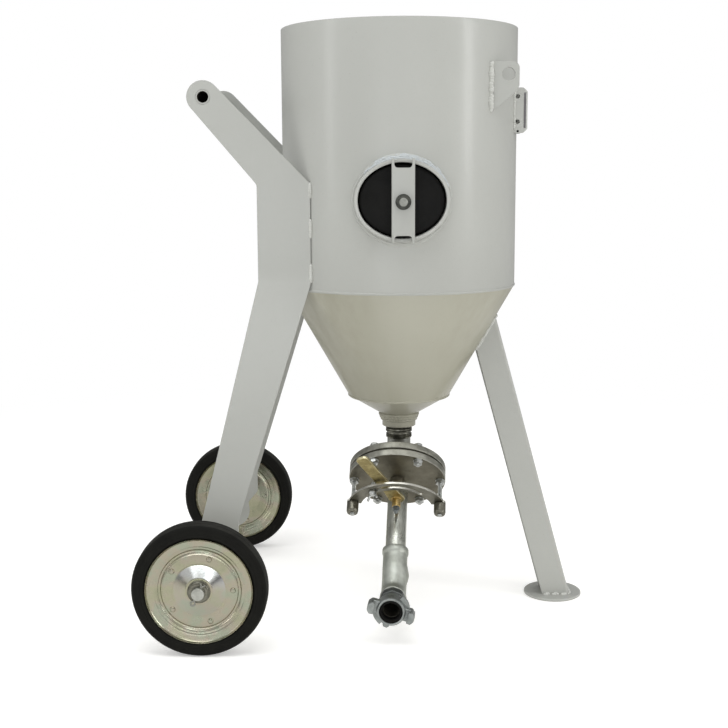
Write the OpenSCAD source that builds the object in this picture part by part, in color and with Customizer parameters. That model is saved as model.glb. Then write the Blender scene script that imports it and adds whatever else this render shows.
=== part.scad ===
// Wheeled abrasive blasting pot, about 100 litre, with a swing metering valve.
// Millimetres. The floor is Z = 0, the wheels are at -X, the foot at +X and
// the inspection hatch faces -Y. Origin is the centre of the footprint.

/* [Vessel] */
// Outside radius of the cylindrical shell
shell_r = 243; // [238:1:245]
// Wall thickness of shell and cones
wall = 5; // [4:0.5:6]
// Height of the open top rim above the floor
rim_z = 1207; // [1190:1:1230]
// Height of the seam between shell and cone
seam_z = 685; // [680:1:690]
// Height of the lower cone seam
low_seam_z = 448; // [444:1:452]
// Radius at the lower cone seam
low_seam_r = 107.5; // [105:0.5:110]
// Distance of the vessel axis from the origin
tank_x = 59.5; // [59:0.5:60]

/* [Hatch] */
// Height of the hatch centre
hatch_z = 866; // [850:1:890]
// Half width of the hatch opening
hatch_a = 84.5; // [82:0.5:86]
// Half height of the hatch opening
hatch_b = 71.5; // [70:0.5:73]
// Distance of the collar face from the vessel axis
hatch_front = 262; // [258:1:266]

/* [Running gear] */
// Wheel axle distance behind the origin
axle_x = -329; // [-331:0.5:-327]
// Wheel radius, also the axle height
wheel_r = 131; // [129:0.5:132]
// Distance of each wheel centre plane from the middle
wheel_y = 342; // [338:1:346]
// Tyre width
tyre_w = 44; // [42:1:46]
// Axle radius
axle_r = 12.5; // [12:0.25:12.75]
// Outer face of the side plates from the middle
plate_y = 169; // [167:0.5:171]
// Outward splay of the rear legs in degrees
splay = 4.5; // [3:0.5:5]

/* [Metering valve] */
// Turn of the whole valve about the vessel axis in degrees
valve_turn = 4; // [0:1:8]
// Radius of the round valve flanges
flange_r = 102; // [101:0.5:104]
// Radius of the bolt circle in the flanges
bolt_pcr = 91; // [90:0.5:91.5]
// Lever angle from the upright of the valve face, open position
lever_angle = 22.6; // [20:0.1:26]
// Length of the lever from spindle to tip
lever_len = 172; // [170:1:200]

/* [Hidden] */

paint = [0.72, 0.72, 0.69];
zinc = [0.70, 0.70, 0.66];
steel = [0.36, 0.35, 0.31];
brass = [0.62, 0.50, 0.20];
rubber = [0.06, 0.06, 0.06];
iron = [0.60, 0.62, 0.58];

$fn = 96;
e = 0.02;

cone_slope = (shell_r - low_seam_r) / (seam_z - low_seam_z);
cone_shift = wall * sqrt(1 + cone_slope * cone_slope);
end_r = 41;
end_z = 408;
end_slope = (low_seam_r - end_r) / (low_seam_z - end_z);
end_shift = wall * sqrt(1 + end_slope * end_slope);
socket_z = 379;
collar_wall = 7;
seat_plane = 205;
air_z = 880;
plate_t = 6;
fold_z = 705;
tab_z = 222;
handle_x = tank_x - 384.8;
handle_z = 1065;
half_w = tyre_w / 2;
hub_r = 20.5;
foot_x = 398;
foot_t = 6;
leg_tilt = 15.4;
bend_z = 280.4;
port_off = 45;
body_t = 14;
spacer_t = 4;
stack = 2 * body_t + spacer_t;
bend_to_face = 22.3 + stack;
pipe_r = 21.2;
out_bend = 240.6;
hatch_x = tank_x + 1;
clamp_x = tank_x + 2.7;
clamp_z = hatch_z - 2;
stop_angle = 44;
slot_r = 67.5;

// ---------------------------------------------------------------- helpers

// Flat oval made of two end circles and two side arcs that just cross them.
module oval(a, b) {
    r1 = 0.88 * b;
    touch = ((a - r1) * (a - r1) + b * b - r1 * r1) / (2 * (b - r1));
    t = (a - r1) * touch / (touch - r1);
    r2 = 0.985 * touch;
    union() {
        for (s = [-1, 1]) translate([s * (a - r1), 0]) circle(r = r1);
        intersection() {
            translate([0, b - r2]) circle(r = r2);
            translate([0, r2 - b]) circle(r = r2);
            square([2 * t, 2 * b], center = true);
        }
    }
}

module at_tank() {
    translate([tank_x, 0, 0]) children();
}

// Solid oval bar along -Y, from distance y0 to y1 in front of the axis.
module oval_bar(a, b, y0, y1) {
    translate([hatch_x, -y0, hatch_z]) rotate([90, 0, 0])
        linear_extrude(height = y1 - y0) oval(a, b);
}

module tube(h, ro, ri) {
    difference() {
        cylinder(h = h, r = ro);
        translate([0, 0, -1]) cylinder(h = h + 2, r = ri);
    }
}

module hex(h, flats) {
    cylinder(h = h, r = flats / sqrt(3), $fn = 6);
}

// Local frame of a wheel, Z pointing outwards along the axle.
module at_wheel(side) {
    translate([axle_x, side * wheel_y, wheel_r]) rotate([-90 * side, 0, 0]) children();
}

module valve_frame() {
    translate([tank_x, 0, 0]) rotate([0, 0, -valve_turn]) children();
}

// Valve face frame: X across, Y up the face, Z out of the lower face.
module on_disc() {
    valve_frame() translate([0, 0, bend_z]) rotate([135, 0, 0])
        translate([0, port_off, bend_to_face]) children();
}

module flange_holes(r) {
    for (a = [0 : 60 : 300]) rotate([0, 0, a])
        translate([bolt_pcr, 0, -stack - 20]) cylinder(h = stack + 60, r = r);
}

module small_bolt_places() {
    for (a = [60, 120, 240, 300]) rotate([0, 0, a])
        translate([bolt_pcr, 0, 0]) rotate([0, 0, -a]) children();
}

module side_bolt_places() {
    for (s = [-1, 1]) translate([s * bolt_pcr, 0, 0]) children();
}

// ---------------------------------------------------------------- vessel

module shell() {
    color(paint) difference() {
        at_tank() translate([0, 0, seam_z]) cylinder(h = rim_z - seam_z, r = shell_r);
        at_tank() translate([0, 0, seam_z - 1]) cylinder(h = rim_z - seam_z + 2, r = shell_r - wall);
        oval_bar(hatch_a + collar_wall + 0.2, hatch_b + collar_wall + 0.2, 150, 300);
        at_tank() translate([0, 200, air_z]) rotate([-90, 0, 0]) cylinder(h = 80, r = 21.2);
    }
}

module bottom_cone() {
    color(paint) at_tank() rotate_extrude() polygon([
        [low_seam_r, low_seam_z],
        [shell_r, seam_z - 0.1],
        [shell_r - cone_shift, seam_z - 0.1],
        [low_seam_r - cone_shift, low_seam_z]
    ]);
}

module end_cone() {
    color(paint) at_tank() rotate_extrude() polygon([
        [end_r, end_z],
        [low_seam_r, low_seam_z - 0.1],
        [low_seam_r - end_shift + 3, low_seam_z - 0.1],
        [end_r - 5, end_z + 6],
        [end_r - 5, end_z - 10],
        [end_r - 3, end_z - 10]
    ]);
}

module outlet_socket() {
    color(paint) at_tank() difference() {
        translate([0, 0, socket_z]) cylinder(h = end_z + 4 - socket_z, r = end_r - 5.2);
        translate([0, 0, socket_z - 1]) cylinder(h = 60, r = 25.1);
    }
}

module fill_head() {
    r = shell_r - wall - 0.2;
    color(paint) at_tank() rotate_extrude() polygon([
        [50.4, 1091],
        [r - 6, 1148],
        [r, 1152],
        [r, 1172],
        [r - 5, 1172],
        [r - 5, 1155],
        [r - 8, 1153],
        [50.4, 1096.5]
    ]);
}

module fill_seat() {
    color(paint) at_tank() rotate_extrude() polygon([
        [36, 1084],
        [47, 1084],
        [47, 1080],
        [50.2, 1080],
        [50.2, 1100],
        [36, 1100]
    ]);
}

module seat_seal() {
    color(rubber) at_tank() translate([0, 0, 1076.5]) tube(7.3, 46.8, 40.2);
}

module popup_plug() {
    color(rubber) at_tank() {
        rotate_extrude() polygon([
            [0, 1000.3],
            [44, 1000.3],
            [50, 1006],
            [50, 1018],
            [38, 1046],
            [18, 1060],
            [0, 1064]
        ]);
        translate([0, 0, 900]) cylinder(h = 102, r = 12.9);
    }
}

module guide_pipe() {
    color(zinc) at_tank() difference() {
        union() {
            translate([0, 0, air_z]) cylinder(h = 1000 - air_z, r = 16.85);
            translate([0, 0, air_z]) sphere(r = 21);
            translate([0, 0, air_z]) cylinder(h = 26, r = 21);
            translate([0, 0, air_z]) rotate([-90, 0, 0]) cylinder(h = 26, r = 21);
            translate([0, 0, air_z]) rotate([-90, 0, 0]) cylinder(h = shell_r - 20.2, r = 16.5);
        }
        translate([0, 0, air_z]) cylinder(h = 140, r = 13.6);
        translate([0, 0, air_z]) sphere(r = 13.6);
        translate([0, 0, air_z]) rotate([-90, 0, 0]) cylinder(h = 300, r = 13.6);
    }
}

module air_socket() {
    color(zinc) at_tank() translate([0, shell_r - 20, air_z]) rotate([-90, 0, 0]) difference() {
        cylinder(h = 55, r = 21);
        translate([0, 0, 5]) cylinder(h = 60, r = 16.6);
        translate([0, 0, -1]) cylinder(h = 10, r = 13.6);
    }
}

// ---------------------------------------------------------------- hatch

module hatch_collar() {
    color(paint) {
        difference() {
            oval_bar(hatch_a + collar_wall, hatch_b + collar_wall, seat_plane, hatch_front);
            oval_bar(hatch_a, hatch_b, seat_plane - 10, hatch_front + 10);
        }
        difference() {
            intersection() {
                oval_bar(hatch_a + 11, hatch_b + 17.5, 150, 300);
                at_tank() translate([0, 0, hatch_z - 120]) cylinder(h = 240, r = shell_r + 7);
            }
            at_tank() translate([0, 0, hatch_z - 130]) cylinder(h = 260, r = shell_r + 0.02);
            oval_bar(hatch_a + collar_wall - 0.5, hatch_b + collar_wall - 0.5, 100, 320);
        }
    }
}

module hatch_cover() {
    y0 = seat_plane - 3.2;
    color(rubber) difference() {
        union() {
            oval_bar(hatch_a + 6, hatch_b + 6, y0 - 7, y0);
            oval_bar(hatch_a - 3, hatch_b - 3, y0 - 7, y0 + 46);
        }
        oval_bar(hatch_a - 11, hatch_b - 11, y0 - 12, y0 + 39);
        translate([clamp_x, -y0, clamp_z]) rotate([90, 0, 0]) cylinder(h = 60, r = 8.02);
    }
}

module hatch_gasket() {
    color(rubber) difference() {
        oval_bar(hatch_a + 5.5, hatch_b + 5.5, seat_plane - 3, seat_plane - 0.3);
        oval_bar(hatch_a - 2.4, hatch_b - 2.4, seat_plane - 8, seat_plane + 4);
    }
}

module hatch_stud() {
    color(zinc) translate([clamp_x, 0, clamp_z]) rotate([90, 0, 0]) {
        translate([0, 0, 232]) cylinder(h = 68, r = 8);
        translate([0, 0, 228]) hex(12.6, 24);
    }
}

module hatch_yoke() {
    face = hatch_front + 16;
    color(paint) translate([clamp_x, 0, hatch_z]) rotate([90, 0, 0]) difference() {
        translate([-22, -79, hatch_front + 0.3]) cube([44, 158, face - hatch_front - 0.3]);
        translate([-16.5, -90, hatch_front - 5]) cube([33, 180, face - hatch_front - 1]);
        for (s = [-1, 1]) translate([0, s * 90 - 2, hatch_front]) linear_extrude(height = 30) union() {
            square([22, 52], center = true);
            square([34, 39], center = true);
            for (k = [-1, 1]) translate([k * 10.9, -s * 19.5]) circle(r = 6.1);
        }
        translate([0, -2, hatch_front]) cylinder(h = 40, r = 8.6);
    }
}

module hatch_washer() {
    color(zinc) translate([clamp_x, -hatch_front - 16.05, clamp_z]) rotate([90, 0, 0])
        tube(3, 15, 8.5);
}

module hatch_nut() {
    color(zinc) translate([clamp_x, -hatch_front - 19.1, clamp_z]) rotate([90, 0, 0]) difference() {
        hex(13, 24);
        translate([0, 0, -1]) cylinder(h = 16, r = 8.06);
    }
}

// ---------------------------------------------------------------- rear frame

module plate_outline() {
    kx = tank_x - 283;
    union() {
        translate([handle_x, handle_z]) circle(r = 32);
        polygon([
            [handle_x - 22.9, handle_z - 22.4],
            [kx, 896],
            [kx, fold_z],
            [tank_x - 160, fold_z],
            [tank_x - 160, 880],
            [tank_x - 184, 904],
            [handle_x + 22.8, handle_z + 22.4]
        ]);
    }
}

module leg_outline() {
    drop = (fold_z - tab_z) / cos(splay);
    polygon([
        [tank_x - 283, 1],
        [tank_x - 176.9, 1],
        [tank_x - 176.9 - 0.3134 * drop, -drop],
        [tank_x - 283 - 0.2475 * drop, -drop]
    ]);
}

module tab_outline() {
    drop = fold_z - tab_z;
    r_top = tank_x - 176.9 - 0.3134 * drop;
    l_top = tank_x - 283 - 0.2475 * drop;
    union() {
        polygon([
            [l_top, tab_z + 1],
            [r_top, tab_z + 1],
            [r_top, 178],
            [axle_x + 37, 150],
            [axle_x - 37, 146]
        ]);
        translate([axle_x, wheel_r]) circle(r = 40);
    }
}

module upright(h) {
    rotate([90, 0, 0]) linear_extrude(height = h) children();
}

module side_plate() {
    tab_y = plate_y + (fold_z - tab_z) * tan(splay);
    color(paint) difference() {
        union() {
            translate([0, -plate_y + plate_t, 0]) upright(plate_t) plate_outline();
            translate([0, -plate_y, fold_z]) rotate([-splay, 0, 0]) translate([0, plate_t, 0])
                upright(plate_t) leg_outline();
            translate([0, -tab_y + plate_t, 0]) upright(plate_t) tab_outline();
        }
        at_tank() translate([0, 0, fold_z - 40]) cylinder(h = 600, r = shell_r + 0.25);
        at_tank() translate([0, 0, low_seam_z]) cylinder(
            h = seam_z - low_seam_z + 0.2, r1 = low_seam_r + 0.5, r2 = shell_r + 0.5);
        translate([handle_x, 0, handle_z]) rotate([90, 0, 0]) cylinder(h = 900, r = 14.05);
        translate([axle_x, 0, wheel_r]) rotate([90, 0, 0]) cylinder(h = 900, r = axle_r + 0.1);
    }
}

module handle_tube() {
    len = 2 * plate_y + 1;
    color(paint) translate([handle_x, len / 2, handle_z]) rotate([90, 0, 0]) tube(len, 14, 11);
}

module axle() {
    len = 2 * (wheel_y + half_w) + 32;
    color(zinc) translate([axle_x, len / 2, wheel_r]) rotate([90, 0, 0]) difference() {
        cylinder(h = len, r = axle_r);
        for (s = [-1, 1]) translate([0, 0, s < 0 ? 7 : len - 7]) rotate([0, 0, -28 * s])
            rotate([90, 0, 0]) cylinder(h = 60, r = 2.4, center = true);
    }
}

module axle_collars() {
    color(zinc) for (s = [-1, 1]) at_wheel(s) translate([0, 0, -half_w - 22]) tube(9, 19, axle_r + 0.05);
}

module axle_washers() {
    color(zinc) for (s = [-1, 1]) at_wheel(s) {
        translate([0, 0, half_w + 4.2]) tube(2.4, 18, axle_r + 0.1);
        translate([0, 0, -half_w - 12.7]) tube(2.4, 18, axle_r + 0.1);
    }
}

module split_pins() {
    color(zinc) for (s = [-1, 1]) at_wheel(s) rotate([0, 0, -28]) translate([0, 0, half_w + 9])
        rotate([90, 0, 0]) {
            translate([0, 0, -19]) cylinder(h = 38, r = 1.9);
            translate([0, 0, 20]) rotate([90, 0, 0]) rotate_extrude() translate([3.4, 0]) circle(r = 1.6);
        }
}

// ---------------------------------------------------------------- wheels

module tyre(side) {
    color(rubber) at_wheel(side) rotate_extrude() polygon([
        [100.2, -half_w + 7],
        [104, -half_w + 1.5],
        [108, -half_w],
        [wheel_r - 5, -half_w],
        [wheel_r, -half_w + 5],
        [wheel_r, half_w - 5],
        [wheel_r - 5, half_w],
        [108, half_w],
        [104, half_w - 1.5],
        [100.2, half_w - 7]
    ]);
}

// Pressed wheel disc, drawn for the outer side.
module pressed_disc() {
    difference() {
    rotate_extrude() polygon([
        [hub_r + 0.1, half_w - 3],
        [26, half_w - 3],
        [54, 11],
        [74, 11],
        [77, 9],
        [80, 11],
        [84, 13.5],
        [88, 12.5],
        [94, 14.5],
        [99, 14.5],
        [103.4, half_w - 0.5],
        [103.4, half_w + 1],
        [101.8, half_w + 1],
        [98, 17],
        [94, 17],
        [88, 15],
        [84, 16],
        [80, 13.5],
        [77, 11.5],
        [74, 13.5],
        [54, 13.5],
        [26, half_w - 0.5],
        [hub_r + 0.1, half_w - 0.5]
    ]);
    for (a = [0 : 72 : 288]) rotate([0, 0, a]) translate([64.5, 0, 0]) cylinder(h = 30, r = 2.7);
    }
}

module wheel_disc(side) {
    color(zinc) at_wheel(side) pressed_disc();
}

module wheel_back(side) {
    color(zinc) at_wheel(side) mirror([0, 0, 1]) pressed_disc();
}

module wheel_hub(side) {
    color(zinc) at_wheel(side) translate([0, 0, -half_w - 10]) tube(tyre_w + 14, hub_r, axle_r + 0.08);
}

module wheel_rivets(side) {
    color(zinc) at_wheel(side) for (a = [0 : 72 : 288]) rotate([0, 0, a]) translate([64.5, 0, 0]) {
        translate([0, 0, -10.9]) cylinder(h = 21.8, r = 3.4);
        translate([0, 0, 13.6]) cylinder(h = 2.6, r = 5.5);
        translate([0, 0, -16.2]) cylinder(h = 2.6, r = 5.5);
        translate([0, 0, -15]) cylinder(h = 30, r = 2.6);
    }
}

// ---------------------------------------------------------------- front leg

module front_leg() {
    color(paint) difference() {
        translate([tank_x + 370.1, 0, 13.6]) rotate([0, -leg_tilt, 0]) difference() {
            translate([-57.5, -30, -40]) cube([57.5, 60, 720]);
            translate([-60, -25, -50]) cube([55, 50, 740]);
        }
        translate([0, -100, -60]) cube([600, 200, 60 + foot_t + 0.1]);
        at_tank() translate([0, 0, low_seam_z]) cylinder(
            h = seam_z - low_seam_z, r1 = low_seam_r + 0.4, r2 = shell_r + 0.4);
        at_tank() translate([0, 0, seam_z - e]) cylinder(h = 100, r = shell_r + 0.4);
    }
}

module foot_plate() {
    color(paint) translate([foot_x, 0, 0]) cylinder(h = foot_t, r = 62);
}

module lug_outline() {
    difference() {
        union() {
            polygon([
                [150, 1034],
                [178, 1034],
                [226, 1074],
                [230, 1084],
                [230, 1121],
                [217, 1134],
                [150, 1134]
            ]);
            translate([217, 1121]) circle(r = 13);
        }
        translate([209, 1106]) circle(r = 12);
    }
}

module lifting_lugs() {
    color(paint) at_tank() for (s = [0, 1]) mirror([0, s, 0]) difference() {
        translate([0, -159, 0]) upright(8) lug_outline();
        cylinder(h = 1300, r = shell_r + 0.1);
    }
}

module control_bracket() {
    color(paint) at_tank() difference() {
        translate([0, -18, 0]) upright(60) polygon([
            [200, 1004],
            [236, 996],
            [250, 996],
            [258, 1004],
            [258, 1078],
            [250, 1086],
            [232, 1086],
            [200, 1078]
        ]);
        translate([200, -74, 900]) cube([54, 52, 300]);
        for (z = [1020, 1071]) translate([237.5, 100, z]) rotate([90, 0, 0]) cylinder(h = 300, r = 4.5);
        translate([0, 0, 900]) cylinder(h = 300, r = shell_r + 0.1);
    }
}

// ---------------------------------------------------------------- valve, fixed parts

module outlet_nipple() {
    color(steel) valve_frame() difference() {
        union() {
            translate([0, 0, 312.3]) cylinder(h = 90, r = 25);
            translate([0, 0, 363]) cylinder(h = 15.5, r = 28.5);
            for (z = [351, 356]) translate([0, 0, z]) cylinder(h = 2.5, r = 26.5);
        }
        translate([0, 0, 300]) cylinder(h = 120, r = 20);
    }
}

module inlet_elbow() {
    color(iron) valve_frame() difference() {
        union() {
            translate([0, 0, bend_z]) cylinder(h = 48, r = 30);
            translate([0, 0, bend_z + 34]) cylinder(h = 14, r = 33);
            translate([0, 0, bend_z]) sphere(r = 30.6);
            translate([0, 0, bend_z]) rotate([135, 0, 0]) cylinder(h = 26, r = 30);
        }
        translate([0, 0, 312]) cylinder(h = 40, r = 25.1);
        translate([0, 0, bend_z]) cylinder(h = 60, r = 20);
        translate([0, 0, bend_z]) sphere(r = 20.5);
        translate([0, 0, bend_z]) rotate([135, 0, 0]) {
            cylinder(h = 60, r = 20);
            translate([-50, -50, 22.2]) cube([100, 100, 30]);
        }
    }
}

module valve_body() {
    color(steel) on_disc() difference() {
        translate([0, 0, -stack]) cylinder(h = body_t, r = flange_r);
        translate([0, -port_off, -stack - 1]) cylinder(h = 40, r = 20);
        translate([0, 0, -stack + 4]) cylinder(h = 40, r = 6.33);
        flange_holes(5.3);
    }
}

module valve_spacer() {
    color(steel) on_disc() difference() {
        translate([0, 0, -body_t - spacer_t + 0.05]) tube(spacer_t - 0.1, flange_r - 2, 80);
        flange_holes(5.3);
    }
}

module valve_plate() {
    color(steel) on_disc() difference() {
        union() {
            translate([0, 0, -body_t]) cylinder(h = body_t, r = flange_r);
            cylinder(h = 9, r = 15);
        }
        translate([0, -port_off, -30]) cylinder(h = 40, r = 18);
        translate([0, 0, -30]) cylinder(h = 60, r = 6.33);
        flange_holes(5.3);
    }
}

module flange_bolts() {
    color(zinc) on_disc() small_bolt_places() {
        translate([0, 0, -stack - 1]) cylinder(h = stack + 13, r = 5);
        translate([0, 0, -stack - 6.8]) hex(6.6, 17);
    }
}

module flange_nuts() {
    color(zinc) on_disc() {
        small_bolt_places() translate([0, 0, 0.2]) difference() {
            hex(8, 17);
            translate([0, 0, -1]) cylinder(h = 12, r = 5.03);
        }
        side_bolt_places() translate([0, 0, 0.2]) difference() {
            hex(8, 17);
            translate([0, 0, -1]) cylinder(h = 12, r = 4.53);
        }
    }
}

module sector_outline() {
    difference() {
        union() {
            difference() {
                translate([0, -21.5]) circle(r = 103);
                translate([0, -21.5]) circle(r = 76);
                translate([-150, -300]) square([300, 300]);
            }
            side_bolt_places() circle(r = 12.5);
        }
        side_bolt_places() circle(r = 4.7);
        intersection() {
            difference() {
                circle(r = slot_r + 4.6);
                circle(r = slot_r - 4.6);
            }
            polygon([[0, 0], [220, 178], [0, 300], [-220, 178]]);
        }
        for (s = [-1, 1]) rotate([0, 0, 90 + s * 51]) translate([slot_r, 0]) circle(r = 4.75);
    }
}

module sector() {
    color(steel) on_disc() translate([0, 0, 52]) linear_extrude(height = 5) sector_outline();
}

module sector_bolts() {
    color(zinc) on_disc() side_bolt_places() {
        translate([0, 0, -stack - 1]) cylinder(h = stack + 87, r = 4.5);
        translate([0, 0, -stack - 6.8]) hex(6.6, 17);
    }
}

module sector_bushes() {
    color(steel) on_disc() side_bolt_places() {
        translate([0, 0, 57.2]) tube(25, 12.3, 4.53);
    }
}

module outlet_pipe() {
    color(zinc) on_disc() translate([0, -port_off, 0.1]) tube(160.6, pipe_r, 18);
}

// Elbow frame: the bend point, legs along the valve axis and along -Y.
module at_bend() {
    on_disc() translate([0, -port_off, out_bend]) rotate([-135, 0, 0]) children();
}

module outlet_elbow() {
    color(iron) at_bend() difference() {
        union() {
            sphere(r = 25.6);
            rotate([-45, 0, 0]) cylinder(h = 100, r = 25);
            rotate([-45, 0, 0]) translate([0, 0, 86]) cylinder(h = 14, r = 27);
            rotate([-45, 0, 0]) translate([3.4, 0, 26]) cylinder(h = 32, r = 27.5);
            rotate([90, 0, 0]) cylinder(h = 35, r = 25);
            rotate([90, 0, 0]) translate([0, 0, 24]) cylinder(h = 11, r = 27);
        }
        rotate([-45, 0, 0]) translate([0, 0, 79.8]) cylinder(h = 40, r = pipe_r + 0.05);
        rotate([-45, 0, 0]) cylinder(h = 140, r = 18);
        sphere(r = 18.5);
        rotate([90, 0, 0]) cylinder(h = 60, r = 18);
        rotate([90, 0, 0]) translate([0, 0, 15]) cylinder(h = 60, r = 20.6);
    }
}

module claw_pad() {
    intersection() {
        translate([25, -14]) square([24, 28]);
        circle(r = 48);
    }
}

module claw_coupling() {
    color(iron) at_bend() rotate([90, 0, 0]) difference() {
        union() {
            translate([0, 0, 15.2]) cylinder(h = 24, r = 20.5);
            translate([0, 0, 36]) cylinder(h = 22, r = 27.5, $fn = 8);
            translate([0, 0, 58]) cylinder(h = 22, r1 = 23.5, r2 = 29.5);
            translate([0, 0, 80]) cylinder(h = 28, r = 29.5);
            rotate([0, 0, -15]) for (s = [0, 180]) rotate([0, 0, s]) {
                difference() {
                    translate([0, 0, 86]) linear_extrude(height = 30) claw_pad();
                    translate([0, 0, 99]) cylinder(h = 11, r = 38);
                    translate([0, 0, 99]) cylinder(h = 30, r = 33);
                }
                translate([0, 0, 86]) linear_extrude(height = 12) intersection() {
                    circle(r = 37);
                    polygon([[0, 0], [60, 15], [60, 70], [20, 60]]);
                }
            }
        }
        translate([0, 0, 10]) cylinder(h = 80, r = 16);
        translate([0, 0, 86]) cylinder(h = 40, r = 25);
    }
}

module coupling_seal() {
    color(rubber) at_bend() rotate([90, 0, 0]) translate([0, 0, 86.2]) tube(18, 24.8, 17);
}

// ---------------------------------------------------------------- valve, moving parts

module orifice_plate() {
    color(steel) on_disc() translate([0, 0, -body_t - spacer_t + 0.4]) linear_extrude(height = spacer_t - 0.8)
        difference() {
            union() {
                circle(r = 16);
                intersection() {
                    circle(r = 78);
                    polygon([[0, 0], [-110, -64], [-60, -150], [120, -150], [130, -23]]);
                }
            }
            translate([0, -port_off]) circle(r = 16);
            circle(r = 6.3);
        }
}

module spindle() {
    color(brass) on_disc() {
        translate([0, 0, -stack + 6]) cylinder(h = stack + 60, r = 6.25);
        translate([0, 0, 60]) cylinder(h = 20, r = 4);
    }
}

module lever_outline() {
    rotate([0, 0, lever_angle]) union() {
        circle(r = 17);
        polygon([
            [-15, 2],
            [15, 2],
            [13, 60],
            [13, lever_len - 4],
            [9, lever_len],
            [-9, lever_len],
            [-13, lever_len - 4],
            [-13, 60]
        ]);
    }
}

module lever() {
    color(brass) on_disc() difference() {
        union() {
            translate([0, 0, 40]) linear_extrude(height = 6) lever_outline();
            translate([0, 0, 45]) cylinder(h = 21, r = 9);
        }
        translate([0, 0, 30]) cylinder(h = 50, r = 6.3);
    }
}

module spindle_nut() {
    color(zinc) on_disc() translate([0, 0, 66.05]) difference() {
        hex(8, 13);
        translate([0, 0, -1]) cylinder(h = 10, r = 4.03);
    }
}

module stop_bolt() {
    color(zinc) on_disc() rotate([0, 0, stop_angle]) translate([0, slot_r, 0]) {
        translate([0, 0, 36]) cylinder(h = 40, r = 4);
        translate([0, 0, 46]) hex(5.7, 13);
        translate([0, 0, 57.3]) cylinder(h = 9, r = 8);
        translate([-15, -2, 62]) cube([30, 4, 14]);
    }
}

// ---------------------------------------------------------------- output

shell();
bottom_cone();
end_cone();
outlet_socket();
fill_head();
fill_seat();
seat_seal();
popup_plug();
guide_pipe();
air_socket();
hatch_collar();
hatch_cover();
hatch_gasket();
hatch_stud();
hatch_yoke();
hatch_washer();
hatch_nut();
mirror([0, 1, 0]) side_plate();  // side_plate_left
side_plate();  // side_plate_right
handle_tube();
axle();
axle_collars();
axle_washers();
split_pins();
tyre(1);  // tyre_left
wheel_disc(1);  // wheel_disc_left
wheel_back(1);  // wheel_back_left
wheel_hub(1);  // wheel_hub_left
wheel_rivets(1);  // wheel_rivets_left
tyre(-1);  // tyre_right
wheel_disc(-1);  // wheel_disc_right
wheel_back(-1);  // wheel_back_right
wheel_hub(-1);  // wheel_hub_right
wheel_rivets(-1);  // wheel_rivets_right
front_leg();
foot_plate();
lifting_lugs();
control_bracket();
outlet_nipple();
inlet_elbow();
valve_body();
valve_spacer();
valve_plate();
flange_bolts();
flange_nuts();
orifice_plate();
spindle();
lever();
spindle_nut();
sector();
sector_bolts();
sector_bushes();
stop_bolt();
outlet_pipe();
outlet_elbow();
claw_coupling();
coupling_seal();
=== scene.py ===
import math

import bmesh
import bpy
from mathutils import Matrix, Vector, noise
from mathutils.geometry import tessellate_polygon


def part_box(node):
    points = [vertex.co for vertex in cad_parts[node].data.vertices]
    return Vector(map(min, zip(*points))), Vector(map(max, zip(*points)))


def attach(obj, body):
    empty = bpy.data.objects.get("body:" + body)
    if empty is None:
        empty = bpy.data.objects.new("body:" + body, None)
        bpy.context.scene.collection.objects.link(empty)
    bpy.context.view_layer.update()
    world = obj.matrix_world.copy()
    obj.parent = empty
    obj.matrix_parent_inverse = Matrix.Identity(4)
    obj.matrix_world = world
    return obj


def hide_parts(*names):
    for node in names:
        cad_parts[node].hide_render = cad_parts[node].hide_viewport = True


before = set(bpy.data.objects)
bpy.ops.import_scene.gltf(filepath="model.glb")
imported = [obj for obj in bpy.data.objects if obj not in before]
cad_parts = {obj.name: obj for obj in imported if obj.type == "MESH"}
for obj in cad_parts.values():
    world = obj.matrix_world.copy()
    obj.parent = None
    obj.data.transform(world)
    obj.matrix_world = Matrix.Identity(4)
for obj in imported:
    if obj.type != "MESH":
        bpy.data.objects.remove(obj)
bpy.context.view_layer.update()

SCENE = bpy.context.scene
SCENE.view_settings.view_transform = "Standard"
MM = 0.001
PI = math.pi


# ------------------------------------------------------------------ camera

def make_camera():
    data = bpy.data.cameras.new("camera")
    data.lens, data.sensor_width = 60.35, 36.0
    data.clip_start, data.clip_end = 0.05, 100.0
    cam = bpy.data.objects.new("camera", data)
    SCENE.collection.objects.link(cam)
    yaw, pitch, roll = 0.0087, 0.1583, -0.0042
    spin = Matrix.Rotation(yaw, 3, "Z")
    ahead = spin @ Vector((0, math.cos(pitch), -math.sin(pitch)))
    right = spin @ Vector((1, 0, 0))
    up = right.cross(ahead)
    across = math.cos(roll) * right + math.sin(roll) * up
    above = math.cos(roll) * up - math.sin(roll) * right
    pose = Matrix((across, above, -ahead)).transposed().to_4x4()
    pose.translation = (0.00709, -2.58793, 0.92512)
    cam.matrix_world = pose
    SCENE.camera = cam


make_camera()


# ------------------------------------------------------------------ places, in millimetres

def span(node):
    lo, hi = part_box(node)
    return lo / MM, hi / MM


def move(x, y, z):
    return Matrix.Translation((x, y, z))


def turn(deg, axis):
    return Matrix.Rotation(math.radians(deg), 4, axis)


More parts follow.
